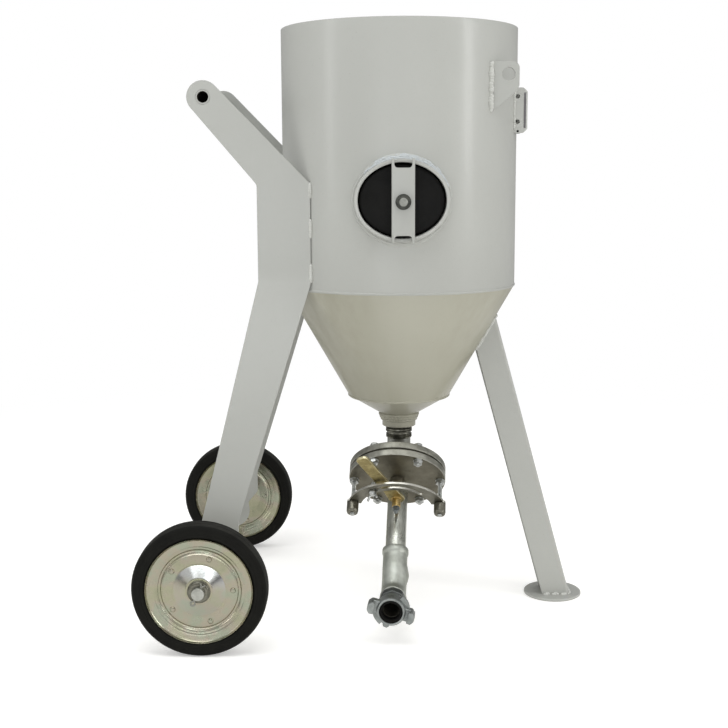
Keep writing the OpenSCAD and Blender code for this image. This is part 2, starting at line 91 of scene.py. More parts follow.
S_LO, S_HI = span("shell")
TX = round((S_LO.x + S_HI.x) / 2, 1)
R = round((S_HI.x - S_LO.x) / 2, 0)
RIM, SEAM = S_HI.z, S_LO.z
WALL = 5.0
LOW_Z, LOW_R = 448.0, 107.5
C_LO, C_HI = span("hatch_collar")
HX0, HZ = (C_LO.x + C_HI.x) / 2, (C_LO.z + C_HI.z) / 2
HA, HB, HQ = 84.5, 71.5, -C_LO.y
N_LO, N_HI = span("hatch_nut")
CX, CZ = (N_LO.x + N_HI.x) / 2, (N_LO.z + N_HI.z) / 2
PLATE_Y, FOLD_Z, TAB_Z, SPLAY = 169.0, 705.0, 222.0, math.tan(math.radians(4.5))
T_LO, T_HI = span("tyre_right")
AX, AZ = round((T_LO.x + T_HI.x) / 2, 1), round((T_LO.z + T_HI.z) / 2, 1)
WHEEL_R, HALF_W = round((T_HI.z - T_LO.z) / 2, 1), round((T_HI.y - T_LO.y) / 2, 1)
WHEEL_Y = -round((T_LO.y + T_HI.y) / 2, 1)
H_LO, H_HI = span("handle_tube")
HX, HANDLE_Z = round((H_LO.x + H_HI.x) / 2, 1), round((H_LO.z + H_HI.z) / 2, 1)
F_LO, F_HI = span("foot_plate")
FOOT_X = (F_LO.x + F_HI.x) / 2
AIR_Z, AIR_BORE = 880, 13.6                     # height of the pressure inlet, bore of its pipe
KNEE_Z, PORT, STAND_OFF = 280.4, 45, 54.3       # inlet elbow, flow opening beside the spindle, elbow to disc
FLANGE_R, BOLT_R, SLOT_R, PIPE_R = 102, 91, 67.5, 21.2
TANK = move(TX, 0, 0)
VALVE = TANK @ turn(-4, "Z")
DISC = VALVE @ move(0, 0, KNEE_Z) @ turn(135, "X") @ move(0, PORT, STAND_OFF)
OUTLET = DISC @ move(0, -PORT, 0)
BEND = DISC @ move(0, -PORT, 240.6) @ turn(-135, "X")
COUPLE = BEND @ turn(90, "X")


def wheel_frame(side):
    return move(AX, side * WHEEL_Y, AZ) @ turn(-90 * side, "X")


# ------------------------------------------------------------------ mesh shapes: lists of points and faces

def grid_faces(rows, n, closed, base=0):
    """Quads between rows of n points each; when closed, the last row joins the first."""
    faces = []
    for j in range(rows if closed else rows - 1):
        k = (j + 1) % rows
        for i in range(n):
            h = (i + 1) % n
            faces.append((base + j * n + i, base + j * n + h, base + k * n + h, base + k * n + i))
    return faces


def ring_faces(a, b):
    """Quads between two closed loops of point numbers."""
    n = len(a)
    return [(a[i], a[(i + 1) % n], b[(i + 1) % n], b[i]) for i in range(n)]


def lathe(profile, n=96, closed=True):
    points = [(r * math.cos(2 * PI * i / n), r * math.sin(2 * PI * i / n), z)
              for r, z in profile for i in range(n)]
    return points, grid_faces(len(profile), n, closed)


def soften(points, radius, steps=3, closed=True):
    out, n = [], len(points)
    for i, p in enumerate(points):
        r = radius[i] if isinstance(radius, (list, tuple)) else radius
        if r <= 0 or (not closed and i in (0, n - 1)):
            out.append(tuple(p))
            continue
        b = Vector(p)
        u, v = Vector(points[i - 1]) - b, Vector(points[(i + 1) % n]) - b
        reach = 0.46 * min(u.length, v.length)
        u.normalize()
        v.normalize()
        angle = u.angle(v)
        if angle > 3.08 or angle < 0.02:
            out.append(tuple(p))
            continue
        t = min(r / math.tan(angle / 2), reach)
        rr = t * math.tan(angle / 2)
        centre = b + (u + v).normalized() * (rr / math.sin(angle / 2))
        a0, a1, full = b + u * t - centre, b + v * t - centre, PI - angle
        for k in range(steps + 1):
            w = k / steps
            d = (a0 * math.sin((1 - w) * full) + a1 * math.sin(w * full)) / math.sin(full)
            out.append(tuple(centre + d))
    return out


def area(loop):
    return sum(a[0] * b[1] - b[0] * a[1] for a, b in zip(loop, loop[1:] + loop[:1])) / 2


def inset(loop, d):
    out, n = [], len(loop)
    for i, p in enumerate(loop):
        a, b, c = Vector(loop[i - 1]), Vector(p), Vector(loop[(i + 1) % n])
        e, f = (b - a).normalized(), (c - b).normalized()
        m, k = Vector((-e.y, e.x)), Vector((-f.y, f.x))
        shift = (m + k) / max(0.35, 1 + m.dot(k))
        out.append(tuple(b + shift * d))
    return out


def plate(outline, z0, z1, edge=0.8, holes=(), steps=2):
    loops = [list(outline) if area(list(outline)) > 0 else list(outline)[::-1]]
    loops += [list(h) if area(list(h)) < 0 else list(h)[::-1] for h in holes]
    layers = [(edge * (1 - math.sin(PI / 2 * k / steps)), z0 + edge * (1 - math.cos(PI / 2 * k / steps)))
              for k in range(steps + 1)]
    layers += [(d, z0 + z1 - z) for d, z in reversed(layers)]
    points, faces, starts = [], [], []
    for loop in loops:
        n, base = len(loop), len(points)
        for d, z in layers:
            points += [(x, y, z) for x, y in inset(loop, d)]
        faces += grid_faces(len(layers), n, False, base)
        starts.append((base, n))
    for layer in (0, len(layers) - 1):
        index, polygons = [], []
        for base, n in starts:
            ids = [base + layer * n + i for i in range(n)]
            index += ids
            polygons.append([Vector(points[i]) for i in ids])
        if len(starts) == 1:
            faces.append(tuple(index))
        else:
            faces += [tuple(index[i] for i in tri) for tri in tessellate_polygon(polygons)]
    return points, faces


def loft(rings, closed=False):
    n, rows = len(rings[0]), len(rings)
    points = [tuple(p) for ring in rings for p in ring]
    faces = grid_faces(rows, n, closed)
    if not closed:
        faces += [tuple(range(n)), tuple((rows - 1) * n + i for i in range(n))]
    return points, faces


def path_rings(path, radius, n=12, closed=False):
    pts = [Vector(p) for p in path]
    m = len(pts)
    ref, rings = None, []
    for i in range(m):
        a = pts[i - 1] if (i or closed) else pts[0]
        b = pts[(i + 1) % m] if (i < m - 1 or closed) else pts[-1]
        t = (b - a).normalized()
        ref = t.orthogonal().normalized() if ref is None else (ref - t * ref.dot(t)).normalized()
        side = t.cross(ref)
        r = radius(i) if callable(radius) else radius
        rings.append([pts[i] + (ref * math.cos(2 * PI * k / n) + side * math.sin(2 * PI * k / n)) * r
                      for k in range(n)])
    return rings


def sweep(path, radius, n=12, closed=False):
    return loft(path_rings(path, radius, n, closed), closed=closed)


def resample(path, step, closed=False):
    pts = [Vector(p) for p in path] + ([Vector(path[0])] if closed else [])
    lengths = [(b - a).length for a, b in zip(pts, pts[1:])]
    total = sum(lengths)
    count = max(3, round(total / step))
    out, seg, done = [], 0, 0.0
    for k in range(count if closed else count + 1):
        s = total * k / count
        while seg < len(lengths) - 1 and done + lengths[seg] < s:
            done += lengths[seg]
            seg += 1
        w = (s - done) / max(lengths[seg], 1e-9)
        out.append(pts[seg].lerp(pts[seg + 1], min(1, w)))
    return out


def weld(path, size, seed=0, closed=False, pitch=3.4, rough=0.16, step=0.9):
    pts = resample(path, step, closed)
    m = len(pts)
    jitter = [Vector((noise.noise(Vector((i * 0.11, seed, k * 5.3))) for k in range(3))) * size * rough
              for i in range(m)]
    if closed:
        jitter = [j * min(1, i / 12, (m - i) / 12) for i, j in enumerate(jitter)]
    pts = [p + j for p, j in zip(pts, jitter)]

    def radius(i):
        ripple = 0.84 + 0.16 * abs(math.sin(PI * i * step / pitch))
        end = 1 if closed else min(1, 0.5 + 0.5 * min(i, m - 1 - i) * step / size)
        return size * end * (ripple + rough * noise.noise(Vector((i * 0.07, 3.1 + seed, 0))))
    return sweep(pts, radius, 10, closed)


def circle(r, n=96, z=0.0, a0=0.0, a1=360.0):
    last = n if abs(a1 - a0) >= 360 else n - 1
    angles = [math.radians(a0 + (a1 - a0) * i / last) for i in range(n)]
    return [(r * math.cos(a), r * math.sin(a), z) for a in angles]


def flat_circle(x, y, r, n=48, a0=0.0, a1=360.0):
    return [(x + p[0], y + p[1]) for p in circle(r, n, 0, a0, a1)]


def arc(x, y, r, degrees):
    return [(x + r * math.cos(math.radians(a)), y + r * math.sin(math.radians(a))) for a in degrees]


def chord(radius, y):
    return math.sqrt(radius ** 2 - y ** 2)


def ring(ro, ri, z0, z1, edge=0.5, n=72):
    return lathe(soften([(ri, z0), (ro, z0), (ro, z1), (ri, z1)], edge, 2), n)


def hexagon(flats, z0, z1, hole=0.0, low=True, high=True, n=48):
    rc = flats / 2 * 0.97
    points = []

    def row(kind, z, way):
        for i in range(n):
            a = 2 * PI * i / n
            corner = flats / 2 / math.cos(a % (PI / 3) - PI / 6)
            drop = (corner - rc) * 0.55
            r = {"hole": hole, "face": rc, "side": corner}[kind]
            zz = z + (way * drop if kind == "side" else 0)
            points.append((r * math.cos(a), r * math.sin(a), zz))
    row("hole", z0, 0)
    if low:
        row("face", z0, 0)
    row("side", z0, 1 if low else 0)
    row("side", z1, -1 if high else 0)
    if high:
        row("face", z1, 0)
    row("hole", z1, 0)
    return points, grid_faces(len(points) // n, n, hole > 0)


def thread(r, pitch, z0, z1, n=28):
    rows = max(2, int((z1 - z0) / pitch * 6))
    points, faces = [(0, 0, z0)], []
    for j in range(rows + 1):
        z = z0 + (z1 - z0) * j / rows
        tip = min(1, 0.35 + (z1 - z) / pitch * 0.65, 0.35 + (z - z0) / pitch * 0.65)
        for i in range(n):
            f = (z / pitch - i / n) % 1
            cut = 0.61 * pitch * min(1, max(0, 1.3 * abs(2 * f - 1) - 0.15))
            rr = r - cut - 0.8 * (1 - tip) * pitch * 0.6
            points.append((rr * math.cos(2 * PI * i / n), rr * math.sin(2 * PI * i / n), z))
    points.append((0, 0, z1))
    last = len(points) - 1
    for i in range(n):
        h = (i + 1) % n
        faces.append((0, 1 + h, 1 + i))
        faces.append((last, 1 + rows * n + i, 1 + rows * n + h))
        for j in range(rows):
            faces.append((1 + j * n + i, 1 + j * n + h, 1 + (j + 1) * n + h, 1 + (j + 1) * n + i))
    return points, faces


def block(x0, x1, y0, y1, z0, z1):
    return loft([[(x0, y0, z), (x1, y0, z), (x1, y1, z), (x0, y1, z)] for z in (z0, z1)])


def prism(loop, y0, y1):
    """A bar along Y whose section is a loop of (x, z)."""
    return loft([[(x, y, z) for x, z in loop] for y in (y0, y1)])


def turned(profile):
    """A solid about the tank's axis, to cut the parts that meet the vessel."""
    points, faces = lathe(profile, 256, False)
    return [(x + TX, y, z) for x, y, z in points], faces


# ------------------------------------------------------------------ pieces

def link(mesh, name):
    obj = bpy.data.objects.new(name, mesh)
    SCENE.collection.objects.link(obj)
    return obj


def carve(obj, geo, operation="DIFFERENCE"):
    tool = link(Part().add(geo).mesh("tool"), "tool")
    mod = obj.modifiers.new("cut", "BOOLEAN")
    mod.operation, mod.solver, mod.object = operation, "EXACT", tool
    graph = bpy.context.evaluated_depsgraph_get()
    new = bpy.data.meshes.new_from_object(obj.evaluated_get(graph))
    obj.modifiers.clear()
    obj.data = new
    bpy.data.objects.remove(tool)


class Part:
    """One visible piece, gathered from shapes and turned into a mesh that rides on a body."""

    def __init__(self):
        self.points, self.faces, self.slots = [], [], []

    def add(self, geo, place=None, slot=0):
        points, faces = geo
        base = len(self.points)
        self.points += [place @ Vector(p) if place else Vector(p) for p in points]
        self.faces += [tuple(base + i for i in f) for f in faces]
        self.slots += [slot] * len(faces)
        return self

    def mesh(self, name, mats=()):
        mesh = bpy.data.meshes.new(name)
        mesh.from_pydata([p * MM for p in self.points], [], self.faces)
        for m in mats:
            mesh.materials.append(m)
        mesh.polygons.foreach_set("material_index", self.slots)
        bm = bmesh.new()
        bm.from_mesh(mesh)
        bmesh.ops.remove_doubles(bm, verts=bm.verts, dist=3e-6)
        bmesh.ops.dissolve_degenerate(bm, edges=bm.edges, dist=1e-7)
        bmesh.ops.recalc_face_normals(bm, faces=bm.faces)
        bm.to_mesh(mesh)
        bm.free()
        return mesh

    def make(self, name, body, mats, replaced, slot, sharp=38, cuts=(), keep=(), bend=None, even=True):
        obj = link(self.mesh(name, mats), name)
        if bend:
            bend(obj)
        for geo in cuts:
            carve(obj, geo)
        for geo in keep:
            carve(obj, geo, "INTERSECT")
        mesh = obj.data
        bm = bmesh.new()
        bm.from_mesh(mesh)
        for f in bm.faces:
            f.smooth = True
        for e in bm.edges:
            e.smooth = len(e.link_faces) != 2 or e.calc_face_angle(0) < math.radians(sharp)
        bm.to_mesh(mesh)
        bm.free()
        if even:
            mod = obj.modifiers.new("even", "WEIGHTED_NORMAL")
            mod.keep_sharp, mod.weight = True, 60
        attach(obj, body)
        if replaced:
            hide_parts(replaced)
        return obj

    def make_welds(self, name, mats):
        self.make(name, "pot", mats, (), "paint", sharp=80, even=False)


def recolour(obj, place, slot, test):
    """Another material on every face whose centre, as seen from the place, passes the test."""
    inv = place.inverted()
    for p in obj.data.polygons:
        if test(inv @ (p.center / MM)):
            p.material_index = slot


def rounded(obj, width):
    mod = obj.modifiers.new("round", "BEVEL")
    mod.width, mod.segments, mod.limit_method, mod.angle_limit = width, 2, "ANGLE", math.radians(50)


# ------------------------------------------------------------------ materials

def cleared(owner):
    owner.use_nodes = True
    owner.node_tree.nodes.clear()
    return owner.node_tree


def new_material(name):
    mat = bpy.data.materials.new(name)
    tree = cleared(mat)
    out = tree.nodes.new("ShaderNodeOutputMaterial")
    bsdf = tree.nodes.new("ShaderNodeBsdfPrincipled")
    tree.links.new(bsdf.outputs[0], out.inputs[0])
    return mat, tree, bsdf


def node(tree, kind, inputs=None, **props):
    made = tree.nodes.new("ShaderNode" + kind)
    for key, value in props.items():
        setattr(made, key, value)
    for key, value in (inputs or {}).items():
        socket = made.inputs[key]
        if isinstance(value, bpy.types.NodeSocket):
            tree.links.new(value, socket)
        else:
            socket.default_value = value
    return made


def place_of(tree, stretch=None):
    coord = node(tree, "TexCoord").outputs["Object"]
    if stretch:
        return node(tree, "Mapping", {"Vector": coord, "Scale": stretch}).outputs[0]
    return coord


def ranged(tree, value, f0, f1, t0=0.0, t1=1.0, **props):
    return node(tree, "MapRange", {"Value": value, "From Min": f0, "From Max": f1,
                                   "To Min": t0, "To Max": t1}, **props).outputs[0]


def grain(tree, vector, scale, detail=2.0, rough=0.5, lo=0.3, hi=0.7, to=(0.0, 1.0)):
    value = node(tree, "TexNoise", {"Vector": vector, "Scale": scale, "Detail": detail,
                                    "Roughness": rough}).outputs["Fac"]
    return ranged(tree, value, lo, hi, *to)


def mixed(tree, fac, a, b, mode="MIX"):
    made = node(tree, "Mix", data_type="RGBA", blend_type=mode)
    for socket, value in ((made.inputs[0], fac), (made.inputs[6], a), (made.inputs[7], b)):
        if isinstance(value, bpy.types.NodeSocket):
            tree.links.new(value, socket)
        else:
            socket.default_value = (*value, 1.0) if isinstance(value, tuple) else value
    return made.outputs[2]


def maths(tree, operation, a, b=0.0):
    return node(tree, "Math", {0: a, 1: b}, operation=operation).outputs[0]


def vectors(tree, operation, a, b=None):
    """Vector maths; a dot product or a length comes out as a plain number."""
    made = node(tree, "VectorMath", {0: a} if b is None else {0: a, 1: b}, operation=operation)
    return made.outputs["Value" if operation in ("DOT_PRODUCT", "LENGTH") else "Vector"]


def turning_marks(tree, far, lines):
    """Noise that changes with the distance from an axis only."""
    return node(tree, "TexNoise", {"W": maths(tree, "MULTIPLY", far, lines), "Detail": 3.0, "Scale": 1.0},
                noise_dimensions="1D").outputs["Fac"]


def surface(tree, bsdf, tone, rough, layers, settings):
    """Joins colour, roughness and bump layers to the shader, and sets its plain values."""
    tree.links.new(tone, bsdf.inputs["Base Color"])
    tree.links.new(rough, bsdf.inputs["Roughness"])
    for key, value in settings.items():
        bsdf.inputs[key].default_value = value
    normal = None
    for height, strength, distance in layers:
        inputs = {"Height": height, "Strength": strength, "Distance": distance}
        if normal:
            inputs["Normal"] = normal
        normal = node(tree, "Bump", inputs).outputs[0]
    tree.links.new(normal, bsdf.inputs["Normal"])


def scaled(color, k):
    return tuple(c * k for c in color)


def linear(r, g, b):
    return tuple(((c / 255 + 0.055) / 1.055) ** 2.4 for c in (r, g, b))


def paint_material(name, color, rough=0.42, painted_shade=0.0, darker_low=0.0):
    """Sprayed enamel: orange peel, faint runs of tone, small scuffs and specks of dust; optionally painted
    shade low down and at both sides, and darker towards the bottom.
    """
    mat, tree, bsdf = new_material(name)
    at = place_of(tree)
    tone = mixed(tree, grain(tree, at, 2.6, 3), scaled(color, 0.955), scaled(color, 1.035))
    fine = grain(tree, at, 70, 4, 0.65, 0.35, 0.7)
    tone = mixed(tree, maths(tree, "MULTIPLY", fine, 0.22), tone, scaled(color, 0.93))
    scuff = grain(tree, place_of(tree, (26, 26, 240)), 1.0, 5, 0.75, 0.66, 0.78)
    tone = mixed(tree, maths(tree, "MULTIPLY", scuff, 0.14), tone, scaled(color, 1.12))
    specks = grain(tree, at, 420, 1, 0.4, 0.735, 0.76)
    tone = mixed(tree, maths(tree, "MULTIPLY", specks, 0.35), tone, scaled(color, 0.62))
    axes = node(tree, "SeparateXYZ", {0: at}).outputs
    # Painted shade: darker and browner towards the bottom, where less light reaches the cone.
    if painted_shade:
        low = ranged(tree, axes[2], 0.62, 0.40, 0.0, painted_shade)
        cloud = grain(tree, at, 14, 4, 0.6, 0.2, 0.75, (0.6, 1.0))
        tone = mixed(tree, maths(tree, "MULTIPLY", low, cloud), tone,
                     (color[0] * 0.62, color[1] * 0.60, color[2] * 0.52))
        # Painted shade at the left and right sides of the cone, broken into vertical streaks.
        streak = grain(tree, place_of(tree, (30, 30, 2.2)), 1.0, 3, 0.6, 0.3, 0.7, (0.5, 1.0))
        for x0, x1, depth in ((TX - 10, TX - 150, 0.66), (TX + 20, TX + 225, 0.62)):
            shade = ranged(tree, axes[0], x0 * MM, x1 * MM, 0.0, depth)
            tone = mixed(tree, maths(tree, "MULTIPLY", shade, streak), tone,
                         (color[0] * 0.60, color[1] * 0.58, color[2] * 0.50))
    # Darker towards the bottom of the shell.
    if darker_low:
        tone = mixed(tree, ranged(tree, axes[2], 0.78, 0.63, 0.0, darker_low), tone, scaled(color, 0.5))
    shine = grain(tree, at, 38, 3, 0.6, 0.25, 0.75, (rough - 0.05, rough + 0.09))
    wave = grain(tree, at, 9, 2, 0.5, 0.2, 0.8)
    peel = grain(tree, at, 260, 2, 0.5, 0.2, 0.8)
    surface(tree, bsdf, tone, shine, ((wave, 0.10, 0.004), (peel, 0.10, 0.0006)),
            {"Specular IOR Level": 0.34, "Coat Weight": 0.42, "Coat Roughness": 0.2})
    return mat


def metal_material(name, dark, light, rough=(0.28, 0.46), scale=18, spangle=0.0, cast=0.0,
                   stain=None, stain_at=(0.55, 0.75), axis=None, metallic=1.0, bump=0.12):
    """Plated, cast or machined metal, with blotches, grain and turning marks about an axis."""
    mat, tree, bsdf = new_material(name)
    at = place_of(tree)
    tone = mixed(tree, grain(tree, at, scale, 4, 0.6, 0.32, 0.68), dark, light)
    if spangle:
        cell = node(tree, "TexVoronoi", {"Vector": at, "Scale": 150.0}).outputs["Color"]
        grey = node(tree, "SeparateColor", {0: cell}).outputs[0]
        tone = mixed(tree, maths(tree, "MULTIPLY", grey, spangle), tone, scaled(dark, 0.7))
    if stain:
        spot = grain(tree, at, scale * 2.7, 5, 0.7, *stain_at)
        tone = mixed(tree, spot, tone, stain)
    layers = [(grain(tree, at, 900, 3, 0.6), bump, 0.0002)]
    if cast:
        layers.append((grain(tree, at, 240, 4, 0.7), cast, 0.0007))
        layers.append((grain(tree, at, 45, 3, 0.6), cast * 0.8, 0.0025))
    shine = grain(tree, at, scale * 1.6, 4, 0.6, 0.3, 0.7, rough)
    if axis:
        origin, u, v, lines = axis
        rel = vectors(tree, "SUBTRACT", at, origin)
        du, dv = vectors(tree, "DOT_PRODUCT", rel, u), vectors(tree, "DOT_PRODUCT", rel, v)
        square = maths(tree, "ADD", maths(tree, "MULTIPLY", du, du), maths(tree, "MULTIPLY", dv, dv))
        rings = turning_marks(tree, maths(tree, "SQRT", square), lines)
        tone = mixed(tree, maths(tree, "MULTIPLY", rings, 0.30), tone, scaled(light, 1.15))
        layers.append((rings, 0.16, 0.0004))
    surface(tree, bsdf, tone, shine, layers, {"Metallic": metallic})
    return mat


def rubber_material(name, color, dust, rough=(0.55, 0.8), dust_amount=0.4, spec=0.35):
    mat, tree, bsdf = new_material(name)
    at = place_of(tree)
    # On the tread the dust colour and amount also carry painted sheen.
    tone = mixed(tree, grain(tree, at, 22, 5, 0.7, 0.35, 0.75, (0.0, dust_amount)), color, dust)
    tone = mixed(tree, grain(tree, at, 300, 2, 0.5, 0.6, 0.8, (0.0, 0.25)), tone, scaled(dust, 0.8))
    shine = grain(tree, at, 30, 4, 0.6, 0.3, 0.7, rough)
    layers = ((grain(tree, at, 520, 3, 0.6), 0.25, 0.0004), (grain(tree, at, 60, 3, 0.6), 0.12, 0.001))
    surface(tree, bsdf, tone, shine, layers, {"Specular IOR Level": spec})
    return mat


def wheel_metal(name, side):
    """Yellow passivated zinc, blotched by the rolling and plating, with fine turning marks, and a painted
    highlight on the upper part of the hub cone's outer face.
    """
    mat, tree, bsdf = new_material(name)
    at = place_of(tree)
    ramp = node(tree, "ValToRGB", {0: grain(tree, at, 20, 3, 0.55, 0.28, 0.72)})
    stops = [(0.0, (0.31, 0.315, 0.21)), (0.3, (0.365, 0.355, 0.245)), (0.5, (0.385, 0.345, 0.27)),
             (0.72, (0.335, 0.36, 0.27)), (1.0, (0.40, 0.375, 0.31))]
    ramp.color_ramp.elements[0].color = (*stops[0][1], 1)
    ramp.color_ramp.elements[1].color = (*stops[-1][1], 1)
    for spot, color in stops[1:-1]:
        ramp.color_ramp.elements.new(spot).color = (*color, 1)
    rel = vectors(tree, "SUBTRACT", at, (AX * MM, side * WHEEL_Y * MM, AZ * MM))
    far = vectors(tree, "LENGTH", vectors(tree, "MULTIPLY", rel, (1.0, 0.0, 1.0)))
    rings = turning_marks(tree, far, 900.0)
    tone = mixed(tree, maths(tree, "MULTIPLY", rings, 0.16), ramp.outputs[0], (0.50, 0.50, 0.45))
    rise, fall = ranged(tree, far, 0.0262, 0.0272), ranged(tree, far, 0.0498, 0.0508, 1.0, 0.0)
    outward = maths(tree, "GREATER_THAN", vectors(tree, "DOT_PRODUCT", rel, (0.0, side, 0.0)), 0.0)
    cone = maths(tree, "MULTIPLY", maths(tree, "MULTIPLY", rise, fall), outward)
    # Painted highlight: the outer face of the hub cone is greyed slightly all round and turned bluish white
    # on its upper part, as a painted reflection of the lights.
    upper_painted_highlight = ranged(tree, vectors(tree, "DOT_PRODUCT", rel, (0.22, 0.0, 0.975)), 0.008, 0.026, 0.12, 0.75)
    tone = mixed(tree, maths(tree, "MULTIPLY", cone, upper_painted_highlight), tone, (0.43, 0.44, 0.455))
    dull = grain(tree, at, 60, 4, 0.6, 0.3, 0.7, (0.17, 0.30))
    shine = maths(tree, "SUBTRACT", dull, maths(tree, "MULTIPLY", cone, 0.09))
    surface(tree, bsdf, tone, shine, ((grain(tree, at, 34, 3, 0.55), 0.06, 0.0016), (rings, 0.05, 0.0003)),
            {"Metallic": 1.0})
    return mat


DISC_MARKS = (DISC.translation * MM, DISC.col[0].xyz, DISC.col[1].xyz, 900.0)
PAINT_RGB = scaled(linear(186, 187, 181), 0.86)
PAINT = paint_material("paint_shell", PAINT_RGB, darker_low=0.15)
# The cone's paint is the shell paint tinted darker and warmer: painted shade, and painted warm light bounced
# up from the floor.
CONE_SHADED_RGB = (PAINT_RGB[0] * 0.97, PAINT_RGB[1] * 0.94, PAINT_RGB[2] * 0.83)
PAINT_CONE_SHADED = paint_material("paint_cone_shaded", CONE_SHADED_RGB, 0.44, painted_shade=0.5)
PAINT_FRAME = paint_material("paint_frame", scaled(PAINT_RGB, 0.94), 0.46)
# A darker copy of the shell paint for the fill head inside the rim: painted shade in the recess.
PAINT_INNER_SHADED = paint_material("paint_inside_shaded", scaled(PAINT_RGB, 0.9), 0.5)
# A lighter copy of the shell paint on weld beads: painted highlight where the beads catch the light.
PAINT_WELD_HIGHLIT = paint_material("paint_weld", scaled(PAINT_RGB, 1.22), 0.2)
# Bright bluish paint for the beads on top of the hatch ring: painted highlight from the light above.
PAINT_CROWN_HIGHLIGHT = paint_material("weld_top_highlight", linear(184, 189, 190), 0.14)
# A darker copy of the shell paint for the far side plate: painted shade.
PAINT_FAR_SHADED = paint_material("paint_far_plate_shaded", scaled(PAINT_RGB, 0.83), 0.5)
# Near-black steel inside the handle tube and the coupling bore: partly bare mill scale, partly painted shade
# in the bores.
BORE_SCALE_AND_SHADE = metal_material("bore_scale_and_shade", (0.030, 0.028, 0.020), (0.075, 0.070, 0.052), (0.6, 0.8), 60,
                            metallic=0.3)
COVER = rubber_material("cover_black", (0.0052, 0.0052, 0.0048), (0.011, 0.0105, 0.009), (0.5, 0.68), 0.4,
                        spec=0.16)
RUBBER = rubber_material("rubber_black", (0.004, 0.004, 0.0035), (0.012, 0.011, 0.009), spec=0.12)
# Dark grey for the painted-shade strip on the control bracket.
SHADE_STRIP = rubber_material("shade_strip_grey", (0.13, 0.125, 0.13), (0.2, 0.195, 0.2), (0.5, 0.7), 0.4, spec=0.3)
TYRE = rubber_material("tyre_side", (0.0035, 0.0035, 0.0026), (0.010, 0.0098, 0.0068), (0.5, 0.7), 0.5,
                       spec=0.13)
# The tread is lighter than the sides: partly dust, partly painted sheen where light grazes it.
TREAD_DUST_AND_SHEEN = rubber_material("tyre_tread_dust_and_sheen", (0.012, 0.012, 0.010), (0.032, 0.031, 0.026), (0.7, 0.9), 0.7, spec=0.2)
ZINC = metal_material("zinc_bolts", (0.36, 0.37, 0.355), (0.66, 0.67, 0.65), (0.24, 0.42), 60)
ZINC_DULL = metal_material("zinc_dull", (0.22, 0.222, 0.20), (0.38, 0.38, 0.345), (0.34, 0.5), 50)
# Dark steel for the hatch nut and washer: partly oiled steel, partly painted shade.
NUT_OILED_AND_SHADED = metal_material("nut_oiled_and_shaded", (0.045, 0.047, 0.042), (0.11, 0.11, 0.098), (0.32, 0.5), 80)
NUT_GREY = metal_material("nut_grey", (0.17, 0.185, 0.185), (0.34, 0.36, 0.36), (0.3, 0.45), 80)
HUB = metal_material("hub_steel", (0.12, 0.118, 0.095), (0.27, 0.26, 0.215), (0.3, 0.46), 70)
AXLE_STEEL = metal_material("axle_steel", (0.33, 0.335, 0.30), (0.52, 0.525, 0.48), (0.4, 0.56), 60)
NIPPLE_LOW = metal_material("nipple_plain", (0.24, 0.24, 0.215), (0.40, 0.40, 0.365), (0.3, 0.45), 50)
# Lighter brass on the lever's edge faces: partly worn edges, partly painted highlight.
BRASS_EDGE_HIGHLIT = metal_material("brass_edge_highlight", (0.50, 0.43, 0.22), (0.72, 0.66, 0.44), (0.28, 0.42), 70)
# Lighter steel on the sector's edge faces: partly cut edges, partly painted highlight from the light above.
SECTOR_EDGE_HIGHLIT = metal_material("sector_edge_highlight", (0.42, 0.41, 0.36), (0.66, 0.65, 0.59), (0.26, 0.4), 50)
NIPPLE = metal_material("nipple_turned", (0.10, 0.098, 0.08), (0.30, 0.295, 0.25), (0.34, 0.55), 60,
                        stain=(0.07, 0.055, 0.035), stain_at=(0.55, 0.8), cast=0.2)
GALV = metal_material("galvanised_pipe", (0.45, 0.46, 0.41), (0.60, 0.61, 0.555), (0.24, 0.36), 26,
                      spangle=0.22, cast=0.05)
CAST = metal_material("cast_fitting", (0.40, 0.415, 0.37), (0.54, 0.56, 0.51), (0.42, 0.56), 32, cast=0.16,
                      spangle=0.12)
CLAW_DARK = metal_material("claw_iron_dark", (0.085, 0.092, 0.088), (0.18, 0.19, 0.182), (0.36, 0.52), 40,
                           cast=0.4)
CLAW = metal_material("claw_iron", (0.22, 0.236, 0.228), (0.40, 0.42, 0.408), (0.38, 0.54), 40, cast=0.3,
                      spangle=0.25)
STEEL = metal_material("valve_steel", (0.10, 0.092, 0.066), (0.20, 0.185, 0.14), (0.34, 0.52), 24,
                       stain=(0.09, 0.062, 0.035), stain_at=(0.6, 0.85), axis=DISC_MARKS)
# A lighter steel: on the flange rims it is painted highlight where the rims catch the top light; the orifice
# disc is made of it whole.
STEEL_BRIGHT_AND_RIM_HIGHLIGHT = metal_material("valve_light_steel_rim_highlight", (0.24, 0.235, 0.20), (0.46, 0.455, 0.40), (0.3, 0.5), 40,
                           stain=(0.12, 0.09, 0.06), stain_at=(0.6, 0.8))
SECTOR = metal_material("sector_steel", (0.13, 0.125, 0.10), (0.24, 0.23, 0.19), (0.3, 0.5), 34,
                        stain=(0.11, 0.08, 0.05), stain_at=(0.62, 0.85))
BLACK_STEEL = metal_material("nipple_steel", (0.035, 0.034, 0.028), (0.09, 0.085, 0.07), (0.4, 0.6), 60,
                             stain=(0.16, 0.15, 0.12), stain_at=(0.55, 0.8))
BRASS = metal_material("brass_bar", (0.25, 0.20, 0.08), (0.46, 0.385, 0.18), (0.34, 0.52), 55,
                       stain=(0.12, 0.085, 0.036), stain_at=(0.5, 0.78), bump=0.25)
BRASS_WORN = metal_material("brass_stained", (0.36, 0.25, 0.08), (0.58, 0.44, 0.2), (0.28, 0.45), 90,
                            stain=(0.24, 0.07, 0.03), stain_at=(0.56, 0.66))
WHEEL_ZINC = {s: wheel_metal("wheel_zinc_" + n, s) for s, n in ((-1, "right"), (1, "left"))}


# ------------------------------------------------------------------ vessel

